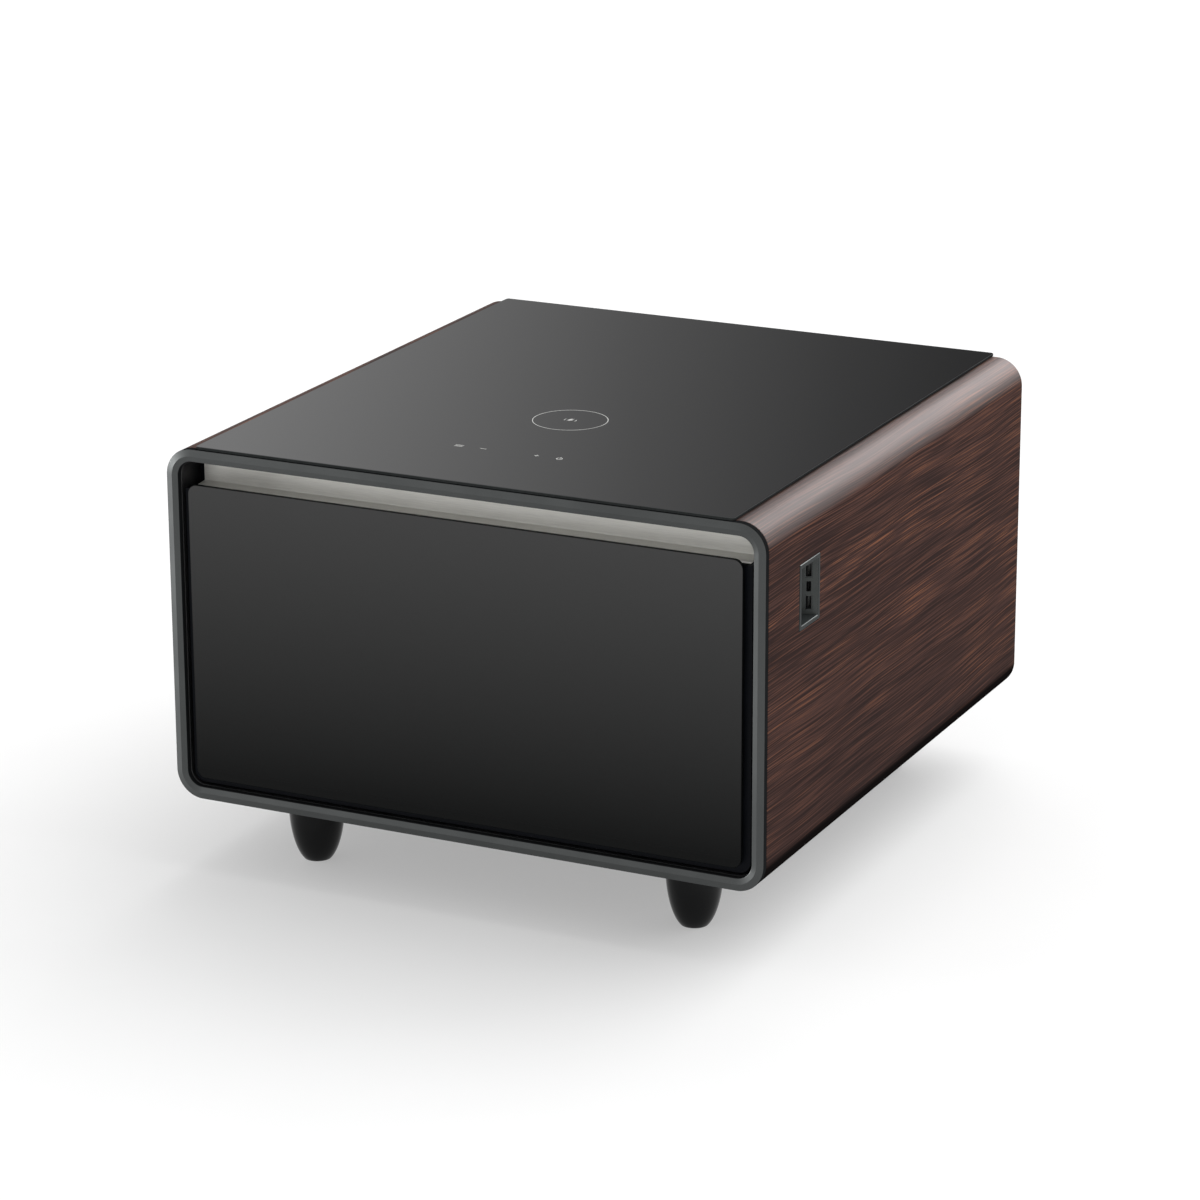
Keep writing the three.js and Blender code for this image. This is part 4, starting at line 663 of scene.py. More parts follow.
@lru_cache(maxsize=None)
def wood_grain() -> bpy.types.NodeTree:
    """Long wood fibres: bands, thin bright and dark lines, and pores, which all run along u.

    The bands follow 0.25 of the wide noise, 0.15 of the fibres and 0.6 of the fine ones. The lines are
    the high and low ends of the mean of the fine and the hair noise. A slow noise bends them all.

    Returns:
        The node group.
    """
    inputs = {
        "Vector": None,
        "Dark": (0.03, 0.02, 0.02, 1),
        "Middle": (0.07, 0.04, 0.03, 1),
        "Streak": (0.2, 0.08, 0.04, 1),
    }
    tree, nodes, given, result = new_group("wood_grain", inputs, GRAIN_OUTPUTS)
    wander = nodes.noise(nodes.stretched(given["Vector"], (1.6, 5.0, 1.0)), 1.0, 2.0)
    bend = nodes.math("MULTIPLY", nodes.math("SUBTRACT", wander, 0.5), 0.03)
    bent = nodes.add("ShaderNodeVectorMath", {"operation": "ADD"})
    nodes.feed(bent.inputs[0], given["Vector"])
    nodes.feed(bent.inputs[1], nodes.add("ShaderNodeCombineXYZ", Y=bend).outputs[0])
    layers = {
        label: nodes.noise(nodes.stretched(bent.outputs[0], stretch), 1.0, detail)
        for label, (stretch, detail) in WOOD_LAYERS.items()
    }
    wide, fibre, fine = layers["wide"], layers["fibre"], layers["fine"]
    tone = nodes.weighted((wide, 0.25), (fibre, 0.15), (fine, 0.6))
    body = nodes.mix(nodes.span(tone, 0.41, 0.59), given["Dark"], given["Middle"])
    lines = nodes.weighted((fine, 0.5), (layers["hair"], 0.5))
    patches = nodes.span(wander, 0.35, 0.6, 0.45, 1.1)
    patchy = nodes.math("MULTIPLY", nodes.span(wide, 0.4, 0.6, 0.3, 0.9), patches)
    warm = nodes.math("MULTIPLY", nodes.span(lines, 0.53, 0.64), patchy)
    lit = nodes.mix(warm, body, given["Streak"])
    seams = nodes.math("MULTIPLY", nodes.span(lines, 0.35, 0.46, 1.0, 0.0), 0.75)
    pits = nodes.math("MULTIPLY", nodes.span(layers["pore"], 0.58, 0.7), 0.3)
    nodes.feed(result["Colour"], nodes.mix(nodes.math("MAXIMUM", seams, pits), lit, given["Dark"]))
    nodes.feed(result["Roughness"], nodes.span(fibre, 0.35, 0.65, 0.34, 0.46))
    nodes.feed(result["Height"], nodes.weighted((lines, 0.6), (pits, -0.8)))
    return tree


@lru_cache(maxsize=None)
def handled_gloss() -> bpy.types.NodeTree:
    """Faint smears on polished surfaces: a roughness that drifts, and a mask for thin dust.

    Returns:
        The node group.
    """
    inputs = {"Vector": None, "Clean": 0.03, "Smeared": 0.08}
    tree, nodes, given, result = new_group("handled_gloss", inputs, GLOSS_OUTPUTS)
    smear = nodes.noise(nodes.stretched(given["Vector"], (5.0, 9.0, 7.0)), 1.0, 4.0)
    nodes.feed(result["Roughness"], nodes.span(smear, 0.4, 0.7, given["Clean"], given["Smeared"]))
    speck = nodes.noise(given["Vector"], 2200.0, 1.0)
    nodes.feed(result["Dust"], nodes.math("MULTIPLY", nodes.span(speck, 0.66, 0.8), 0.25))
    return tree


@dataclass(frozen=True)
class Finish:
    """A painted, moulded or metal surface with fine grain."""

    name: str
    base: Colour
    shade: Colour
    scale: float = 900.0
    roughness: Pair = (0.35, 0.5)
    metallic: float = 0.0
    relief: float = 0.03
    stretch: Point = UNSTRETCHED
    specular: float = 0.5

    @lru_cache(maxsize=None)
    def material(self) -> bpy.types.Material:
        """The finish as a material, made once.

        Returns:
            The material.
        """
        surface = Surface(self.name)
        where = surface.place()
        if self.stretch != UNSTRETCHED:
            where = surface.stretched(where, self.stretch)
        smooth, rough = self.roughness
        grain = surface.add(
            "ShaderNodeGroup", {"node_tree": fine_grain()}, Vector=where, Base=(*self.base, 1),
            Shade=(*self.shade, 1), Scale=self.scale, Smooth=smooth, Rough=rough,
        ).outputs
        surface.dress(
            Base_Color=grain["Colour"], Roughness=grain["Roughness"], Metallic=self.metallic,
            Specular_IOR_Level=self.specular,
        )
        surface.relief(grain["Height"], self.relief, GRAIN_DEPTH)
        return surface.material


@dataclass(frozen=True)
class Veneer:
    """Dark walnut veneer with reddish streaks, polished on the upper corner, with painted shadow under the
    lower one.

    The corner, the foot and the first pair of the low painted shade are spans of height. The low painted
    shade's second pair is how much of the wood's colour shows against the painted shadow colour below and
    above its span, so the lower part is painted darker.
    """

    name: str
    dark: Colour
    middle: Colour
    streak: Colour
    polish: float
    slope: float = -0.5
    satin: float = 0.08
    corner: Pair = (0.421, 0.432)
    foot: Pair = (0.102, 0.112)
    low_painted_shade: tuple[float, float, float, float] = (0.1, 0.33, 0.84, 1.0)
    # colour of the painted shadow under the lower corner
    underside: Colour = (0.006, 0.005, 0.005)
    coat_roughness: float = 0.42
    relief: float = 0.12
    relief_depth: float = 0.15 * MM

    @lru_cache(maxsize=None)
    def material(self) -> bpy.types.Material:
        """The veneer as a material on the piece's own UV map, made once.

        Returns:
            The material.
        """
        surface = Surface(self.name)
        where = surface.add("ShaderNodeUVMap", {"uv_map": UV_MAP}).outputs[0]
        turned = surface.stretched(where, UNSTRETCHED, (0.0, 0.0, math.radians(self.slope)))
        grain = surface.add(
            "ShaderNodeGroup", {"node_tree": wood_grain()}, Vector=turned, Dark=(*self.dark, 1),
            Middle=(*self.middle, 1), Streak=(*self.streak, 1),
        ).outputs
        height = surface.add("ShaderNodeSeparateXYZ", Vector=surface.place()).outputs["Z"]
        # painted shadow: below the foot the colour is the underside colour, and the low painted shade darkens
        # the lower part
        above_painted_shadow = surface.span(height, *self.foot)
        unshaded_share = surface.math("MULTIPLY", above_painted_shadow, surface.span(height, *self.low_painted_shade))
        satin = surface.math("MULTIPLY", above_painted_shadow, self.satin)
        surface.dress(
            Base_Color=surface.mix(unshaded_share, (*self.underside, 1), grain["Colour"]),
            Roughness=grain["Roughness"],
            Coat_Weight=surface.span(height, *self.corner, satin, self.polish),
            Coat_Roughness=self.coat_roughness,
            Specular_IOR_Level=0.0,
        )
        surface.relief(grain["Height"], self.relief, self.relief_depth)
        return surface.material


@dataclass(frozen=True)
class Polish:
    """Polished black glass or lacquer, with faint smears and thin dust."""

    name: str
    base: Colour
    dust: Colour
    roughness: Pair = (0.02, 0.05)
    specular: float = 0.5

    @lru_cache(maxsize=None)
    def material(self) -> bpy.types.Material:
        """The polish as a material, made once.

        Returns:
            The material.
        """
        surface = Surface(self.name)
        dust = surface.wear(surface.place(), self.roughness)
        dusty = surface.mix(dust, (*self.base, 1), (*self.dust, 1))
        surface.dress(Base_Color=dusty, Specular_IOR_Level=self.specular)
        return surface.material


@dataclass(frozen=True)
class GlassWithPaintedReflection:
    """Black glass whose base colour grows lighter towards the top, a painted reflection, with faint smears.
    """

    name: str
    foot: Colour
    head: Colour
    heights: Pair
    dust: Colour = (0.05, 0.05, 0.05)
    roughness: Pair = (0.03, 0.07)
    specular: float = 0.1

    @lru_cache(maxsize=None)
    def material(self) -> bpy.types.Material:
        """The glass as a material, made once.

        Returns:
            The material.
        """
        surface = Surface(self.name)
        where = surface.place()
        low, high = self.heights
        height = surface.add("ShaderNodeSeparateXYZ", Vector=where).outputs["Z"]
        # painted reflection: the base colour runs from the foot colour at the low height to the head colour
        # at the high one
        rise = surface.math("DIVIDE", surface.math("SUBTRACT", height, low), high - low, clamp=True)
        painted_reflection = surface.mix(rise, (*self.foot, 1), (*self.head, 1))
        dusty = surface.mix(surface.wear(where, self.roughness), painted_reflection, (*self.dust, 1))
        surface.dress(Base_Color=dusty, Specular_IOR_Level=self.specular)
        return surface.material


Dressing = Finish | Veneer | Polish | GlassWithPaintedReflection

WALNUT = (linear(44, 31, 29), linear(72, 50, 45), linear(128, 83, 60))
RIGHT_VENEER = Veneer("walnut_veneer_right", *WALNUT, polish=0.9)
LEFT_VENEER = Veneer("walnut_veneer_left", *WALNUT, polish=0.3)
BLACK_GLASS = Polish("black_glass", linear(22, 22, 23), linear(60, 60, 60))
# the door glass's lighter top is a painted reflection
DOOR_GLASS = GlassWithPaintedReflection("door_glass", linear(8, 9, 9), linear(64, 64, 64), (0.11, 0.41))
GROUND_EDGE = Finish("ground_glass_edge", linear(48, 51, 51), linear(41, 44, 44), 700.0, (0.3, 0.45))
GLASS_SIDE = Finish("dark_glass_edge", linear(12, 14, 14), linear(8, 9, 9), 500.0, (0.3, 0.4), specular=0.04)
TOP_SIDE = Finish("top_glass_edge", linear(46, 48, 48), linear(38, 40, 40), 500.0, (0.3, 0.4), specular=0.0)
PRINT = Finish("white_print", linear(205, 205, 202), linear(180, 180, 178), 1500.0, (0.5, 0.6))
BEZEL = Finish("bezel_paint", linear(76, 78, 78), linear(71, 73, 73), 1400.0, (0.38, 0.42), 0.9, 0.05)
# dark sides of the bezel: on the outer side a painted shadow line against the wood, on the inner side the
# same black as the throat
SHADOW_LINE_REVEAL = Finish("reveal_and_painted_shadow_line", linear(32, 33, 34), linear(26, 27, 28), 1200.0, (0.5, 0.6), specular=0.0)
THROAT = Finish("throat_black", linear(33, 33, 35), linear(26, 26, 28), 1200.0, (0.4, 0.5), relief=0.05)
FRAME = Finish(
    "frame_blue_black", linear(15, 17, 22), linear(11, 13, 17), 1100.0, (0.4, 0.52),
    relief=0.06, specular=0.06,
)
STEEL = Finish(
    "brushed_strip", (0.8, 0.79, 0.745), (0.68, 0.67, 0.63), 2400.0, (0.4, 0.5), 0.45, 0.1, (0.02, 1.0, 1.0)
)
LEG = Polish("leg_lacquer", linear(6, 7, 8), linear(26, 26, 28), (0.05, 0.08), 0.18)
RIM = Finish(
    "port_rim_grey", linear(52, 55, 55), linear(46, 49, 49), 1500.0, (0.45, 0.55), relief=0.05, specular=0.05
)
PORT = Finish(
    "port_grey", linear(74, 77, 76), linear(64, 67, 66), 1500.0, (0.4, 0.5), 0.3, 0.05, specular=0.2
)
PORT_HIGHLIGHT_EDGE = Finish("port_painted_highlight_edge", linear(150, 154, 154), linear(130, 134, 134), 1500.0, (0.3, 0.4), 0.8)
SOCKET = Finish("socket_metal", linear(84, 87, 87), linear(66, 69, 69), 1800.0, (0.3, 0.42), 0.7)
TONGUE = Finish("socket_tongue", linear(20, 21, 22), linear(14, 15, 16), 1500.0, specular=0.1)
CONTACT = Finish("contact_metal", linear(150, 146, 134), linear(120, 117, 108), 1500.0, (0.3, 0.4), 0.8)
WHITE = Finish(
    "white_moulding", linear(232, 234, 236), linear(222, 224, 227), 700.0, (0.35, 0.45), relief=0.05
)
LAMP = Finish("lamp_cover", linear(246, 245, 236), linear(236, 234, 222), 600.0, (0.3, 0.4), relief=0.04)
FOAM = Finish("rigid_foam", linear(226, 217, 182), linear(198, 186, 146), 420.0, (0.85, 0.95), relief=0.6)
RUBBER = Finish("black_rubber", linear(38, 39, 40), linear(28, 29, 30), 800.0, (0.7, 0.85), relief=0.15)
GREY_RUBBER = Finish(
    "grey_gasket", linear(190, 193, 195), linear(172, 175, 178), 800.0, (0.6, 0.75), relief=0.12
)
ZINC = Finish("zinc_sheet", linear(178, 182, 186), linear(146, 150, 156), 300.0, (0.3, 0.45), 0.95, 0.06)
BLACK_SHEET = Finish(
    "black_sheet", linear(34, 35, 37), linear(26, 27, 29), 1200.0, (0.5, 0.6), relief=0.12, specular=0.2
)
COPPER = Finish("copper_tube", linear(196, 128, 92), linear(158, 98, 68), 500.0, (0.25, 0.4), 1.0, 0.05)
ALUMINIUM = Finish(
    "aluminium_sheet", linear(204, 207, 210), linear(180, 184, 188), 600.0, (0.32, 0.44), 0.95, 0.06
)
BOARD = Finish("circuit_board", linear(34, 84, 58), linear(24, 62, 42), 900.0, (0.4, 0.55), relief=0.1)
DECK = Finish(
    "dark_board", linear(44, 38, 34), linear(30, 26, 24), 350.0, (0.6, 0.75),
    relief=0.2, stretch=(1.0, 0.2, 1.0),
)


# ---- sub-assemblies


def span_of(node: str) -> tuple[np.ndarray, np.ndarray]:
    """The lowest and highest corners of a CAD node as arrays."""
    low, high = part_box(node)
    return np.array(low), np.array(high)


def round_node(node: str, facing: Facing, rows: list | np.ndarray, steps: int) -> np.ndarray:
    """Rows of points round the box of a CAD node, as carried_outline works them out.

    Args:
        node: the node's name.
        facing: the axes of the outline.
        rows: (inset, along, radius) for each row.
        steps: stretches in a corner's quarter turn.

    Returns:
        Points as (rows, columns, 3).
    """
    low, high = span_of(node)
    plane = list(facing.value[:2])
    return carried_outline(facing, low[plane], high[plane], rows, steps)


@dataclass
class SidePanel:
    """A veneered side panel with a round return along the top and the underside.

    The grain shift takes the two sides to different stretches of the same wood.
    """

    side: int
    radius: float = 29 * MM
    wall: float = 10 * MM
    window_gap: float = 0.3 * MM
    edge: float = 0.5 * MM
    grain_shift: float = 0.8
    arc_steps: int = 28

    @property
    def node(self) -> str:
        """The CAD node that the panel stands for."""
        return "right_side_panel" if self.side > 0 else "left_side_panel"

    def section(self, low: np.ndarray, high: np.ndarray, stops: list[float]) -> tuple[np.ndarray, np.ndarray]:
        """The outer line from the upper lip's end round both corners to the lower lip's end.

        Args:
            low: lowest corner of the panel's box.
            high: highest corner of the panel's box.
            stops: heights on the flat side that need a point.

        Returns:
            Points as (n, 2) in outward distance and height, and the length along the line to each.
        """
        near, far = sorted((abs(low[0]), abs(high[0])))
        r = self.radius
        top = arc((far - r, high[2] - r), r, 90, -90, self.arc_steps)
        foot = arc((far - r, low[2] + r), r, 0, -90, self.arc_steps)
        flat = [(far, z) for z in sorted(stops, reverse=True)]
        line = np.array([(near, high[2])] + top + flat + foot + [(near, low[2])])
        length = np.concatenate([[0], np.cumsum(np.linalg.norm(np.diff(line, axis=0), axis=1))])
        return line, length

    def build(self) -> bpy.types.Object:
        """Wraps the veneered sheet round the section and cuts the port window out of the right one.

        Returns:
            The new panel.
        """
        low, high = span_of(self.node)
        runs = [low[1], high[1]]
        stops: list[float] = []
        windows: list[Window] = []
        if self.side > 0:
            port_low, port_high = span_of("port_housing")
            runs += [port_low[1] - self.window_gap, port_high[1] + self.window_gap]
            stops = [port_low[2] - self.window_gap, port_high[2] + self.window_gap]
        line, length = self.section(low, high, stops)
        if stops:
            flat = np.isclose(line[:, 0], line[:, 0].max())
            last, first = (length[flat & np.isclose(line[:, 1], stop)][0] for stop in stops)
            windows = [(first, last, runs[2], runs[3])]
        along = np.array(sorted(runs))
        place = np.empty((len(along), len(line), 3))
        place[..., 0] = self.side * line[:, 0]
        place[..., 1] = along[:, None]
        place[..., 2] = line[:, 1]
        sheet = windowed_sheet(length, along, place, windows).towards((self.side, 0, 0))
        sheet.uvs = sheet.uvs[:, ::-1] + np.array([0.0, self.grain_shift * self.side])
        return Piece(
            self.node.replace("side_panel", "veneer_wrap"), Body.CABINET, "wood_panel",
            [RIGHT_VENEER if self.side > 0 else LEFT_VENEER], [sheet], (self.node,), bevel=self.edge,
            solidify=self.wall,
        ).build()


@dataclass
class FrontBezel:
    """The painted ring round the front, whose face is a low roof, and the black throat behind it."""

    radius: float = 29 * MM
    width: float = 13 * MM
    ridge: float = 7.1 * MM
    fall: float = 2.0 * MM
    outer_edge: float = 0.3 * MM
    inner_edge: float = 0.4 * MM
    ease: float = 0.2 * MM
    ease_angle: float = 12.0
    throat_radius: float = 18.7 * MM
    throat_wall: float = 2.7 * MM
    throat_edge: float = 0.6 * MM

    def build(self) -> None:
        """Makes the bezel, whose two slopes take the paint and whose other sides are dark, and the throat;
        the dark outer side is a painted shadow line.
        """
        low, high = span_of("front_bezel")
        front, rear = low[1], high[1]
        slope, width = front + self.fall, self.width
        profile = [
            (0.0, rear), (0.0, slope + self.outer_edge), (self.outer_edge, slope), (self.ridge, front),
            (width - self.inner_edge, slope), (width, slope + self.inner_edge), (width, rear),
        ]
        rows = round_node("front_bezel", Facing.FRONT, ring_rows(profile, self.radius), steps=28)
        # bands: 0 the bezel paint on the slopes, 1 the dark sides, whose outer one is a painted shadow line
        ring = rows_shell(rows, True, bands=[1, 1, 0, 0, 1, 1, 1])
        Piece(
            "bezel_ring", Body.CABINET, "bezel_paint", [BEZEL, SHADOW_LINE_REVEAL], [ring], ("front_bezel",),
            bevel=self.ease, bevel_angle=self.ease_angle,
        ).build()
        self.throat()

    def throat(self) -> None:
        """Makes the throat: a ring whose front inner edge is eased."""
        low, high = span_of("throat_ring")
        near, far, wall, edge = low[1], high[1], self.throat_wall, self.throat_edge
        profile = [(0.0, near), (0.0, far), (wall, far), (wall, near + edge), (wall - edge, near)]
        rows = round_node("throat_ring", Facing.FRONT, ring_rows(profile, self.throat_radius), steps=24)
        ring = rows_shell(rows, True)
        Piece("throat_lining", Body.CABINET, "black_plastic", [THROAT], [ring], ("throat_ring",)).build()


def arris_profile(near: float, far: float, arris: float) -> list[Pair]:
    """(inset, along) pairs of a plate's edge with a small flat arris on both faces."""
    inward = math.copysign(arris, far - near)
    return [(arris, near), (0.0, near + inward), (0.0, far - inward), (arris, far)]


@dataclass
class GlassTop:
    """The black glass top with its ground arris and the printed ring and touch marks.

    The bolt's points and the bars are in millimetres, about the ring's middle and about the row of
    touch marks. A bar is (x, y, width, height).
    """

    radius: float = 4 * MM
    arris: float = 0.4 * MM
    print_proud: float = 0.05 * MM
    ring_x: float = 1 * MM
    ring_depth: float = 248 * MM
    ring_radius: float = 38.2 * MM
    ring_line: float = 0.8 * MM
    bolt: tuple[Pair, ...] = (
        (-1.0, 4.6), (2.6, 4.6), (0.6, 0.9), (3.4, 0.9), (-2.4, -5.2), (-0.7, -0.9), (-3.2, -0.9),
    )
    arc_radius: float = 6.2 * MM
    arc_line: float = 0.9 * MM
    arc_sweep: float = 50.0
    mark_depth: float = 116 * MM
    level_bars: tuple[Window, ...] = ((-56.5, -2.3, 9.0, 0.9), (-56.5, 0.0, 9.0, 0.9), (-56.5, 2.3, 9.0, 0.9))
    sign_bars: tuple[Window, ...] = (
        (-29.6, 0.0, 6.6, 1.0), (29.1, 0.0, 5.0, 1.0), (29.1, 1.7, 1.0, 1.8), (29.1, -1.7, 1.0, 1.8),
    )
    power_bar: Window = (54.2, 2.3, 1.2, 4.0)
    power_middle: Pair = (54.2 * MM, -0.4 * MM)
    power_radius: float = 2.8 * MM
    power_line: float = 1.1 * MM
    power_sweep: float = 300.0
    turn_steps: int = 72

    def build(self) -> None:
        """Makes the glass and lays the print on it."""
        low, high = span_of("glass_top")
        top = high[2] - self.print_proud
        profile = arris_profile(low[2], top, self.arris)
        rows = round_node("glass_top", Facing.TOP, ring_rows(profile, self.radius), steps=10)
        plate = rows_shell(rows, False, bands=[2, 2, 1])
        finishes = [BLACK_GLASS, GROUND_EDGE, TOP_SIDE]  # faces, arris round the upper face, sides
        Piece("glass_sheet", Body.CABINET, "black_glass", finishes, [plate], ("glass_top",)).build()
        self.lay_print(span_of("front_bezel")[0][1], (top, high[2]))

    def lay_print(self, front: float, faces: Pair) -> None:
        """Makes the charging ring with its mark, and the row of touch marks.

        Args:
            front: where depths are measured from.
            faces: heights of the print's lower and upper face.
        """
        middle = (self.ring_x, front + self.ring_depth)
        row = front + self.mark_depth
        inks = [self.annulus(middle, self.ring_radius, self.ring_line, faces)]
        inks.append(extruded(np.array(self.bolt) * MM + middle, Facing.TOP, faces))
        for side in (-90, 90):
            inks.append(self.annulus(middle, self.arc_radius, self.arc_line, faces, side, self.arc_sweep))
        for bar in (*self.level_bars, *self.sign_bars, self.power_bar):
            x, y, half_width, half_height = np.array(bar) * MM * (1, 1, 0.5, 0.5)
            corners = np.array([(-1, -1), (1, -1), (1, 1), (-1, 1)]) * (half_width, half_height)
            inks.append(extruded(corners + (x, row + y), Facing.TOP, faces))
        spot = (self.power_middle[0], row + self.power_middle[1])
        inks.append(self.annulus(spot, self.power_radius, self.power_line, faces, sweep=self.power_sweep))
        Piece("glass_print", Body.CABINET, "white_plastic", [PRINT], inks).build()

    def annulus(
        self, middle: Pair, radius: float, width: float, faces: Pair, side: float = 180.0,
        sweep: float = 360.0,
    ) -> Shell:
        """A flat ring or part of one: middle plus (radius +- width / 2) times (sin t, cos t).

        Args:
            middle: its middle, as (x, y).
            radius: radius of the line's middle.
            width: width of the line.
            faces: heights of its lower and upper face.
            side: angle at which the line's middle lies, in degrees, 0 at the back and 90 at the right.
            sweep: how far the line goes round, in degrees.

        Returns:
            The closed surface.
        """
        whole = sweep >= 360
        stations = np.linspace(0, 1, self.turn_steps + 1)[: self.turn_steps if whole else None]
        turn = np.radians(side + sweep * (stations - 0.5))[:, None]
        away = radius + width / 2 * np.array([-1, 1, 1, -1])
        rows = np.empty((len(turn), 4, 3))
        rows[..., 0] = middle[0] + away * np.sin(turn)
        rows[..., 1] = middle[1] + away * np.cos(turn)
        rows[..., 2] = np.repeat(faces, 2)
        return rows_shell(rows, whole)


@dataclass
class DrawerFront:
    """The drawer's black glass and the folded steel strip above it."""

    glass_radius: float = 10 * MM
    arris: float = 0.5 * MM
    sheet: float = 1.2 * MM
    groove_width: float = 8.7 * MM
    groove_depth: float = 13.4 * MM
    ledge_run: float = 2.5 * MM
    ledge_rise: float = 1.5 * MM
    gap: float = 0.3 * MM
    fold: float = 1.6 * MM

    def build(self) -> None:
        """Makes the glass and the strip."""
        low, high = span_of("door_glass")
        profile = arris_profile(high[1], low[1], self.arris)
        rows = round_node("door_glass", Facing.FRONT, ring_rows(profile, self.glass_radius), steps=20)
        plate = rows_shell(rows, False, bands=[1, 1, 1])
        finishes = [DOOR_GLASS, GLASS_SIDE]  # faces, edge
        Piece("drawer_glass", Body.DRAWER, "black_glass", finishes, [plate], ("door_glass",)).build()
        self.strip()

    def strip(self) -> None:
        """Folds the strip: down behind the glass, along the groove, over the ledge and up."""
        low, high = span_of("pull_channel")
        half = self.sheet / 2
        front, rear = low[1] + half, high[1] - half
        floor = low[2] + half
        ledge = floor + self.groove_depth
        back = front + self.groove_width - 2 * self.gap - self.sheet
        corners = [
            (front, ledge), (front, floor), (back, floor), (back + self.ledge_run, ledge),
            (rear, ledge + self.ledge_rise), (rear, high[2]),
        ]
        section = sheet_section(fillet(corners, self.fold), self.sheet)
        shell = extruded(section, Facing.SIDE, (low[0], high[0]))
        # painted shade: the strip's front leg and groove take the dark frame finish, the ledge and wall the
        # steel
        depth = (section[:, 0] + np.roll(section[:, 0], -1)) / 2
        shell.bands = (depth < back + self.ledge_run / 2).astype(int)
        finishes = [STEEL, FRAME]
        Piece("pull_strip", Body.DRAWER, "channel_steel", finishes, [shell], ("pull_channel",)).build()


@dataclass
class Leg:
    """A bullet-shaped leg: radius = top radius x (1 - u^2)^power, with u falling from 1 at the sole.

    The curve's foot is drawn down to the floor where it is as wide as the sole.
    """

    node: str
    radius: float = 29 * MM
    sole: float = 13 * MM
    sole_ease: float = 1.5 * MM
    curved: float = 62 * MM
    power: float = 0.36
    top: float = 79.7 * MM
    collar: float = 0.6 * MM
    stud: float = 5 * MM
    steps: int = 48

    def build(self) -> bpy.types.Object:
        """Turns the leg and its stud.

        Returns:
            The new leg.
        """
        low, high = span_of(self.node)
        centre = tuple(((low + high) / 2)[:2])
        height = (np.arange(1, self.steps + 1) / self.steps) ** 2
        around = self.radius * (1 - (1 - height) ** 2) ** self.power
        keep = around > self.sole
        start = height[keep][0]
        lowered = height[keep] - start * (1 - (height[keep] - start) / (1 - start)) ** 3
        curve = list(zip(around[keep], lowered * self.curved))
        collar = [(self.radius, self.top - self.collar), (self.radius - self.collar, self.top)]
        stud = [(self.stud, self.top), (self.stud, high[2])]
        shell = lathe([(self.sole - self.sole_ease, 0.0)] + curve[1:] + collar + stud, centre)
        name = self.node.replace("leg", "bullet_leg")
        return Piece(name, Body.CABINET, "leg_gloss", [LEG], [shell], (self.node,)).build()


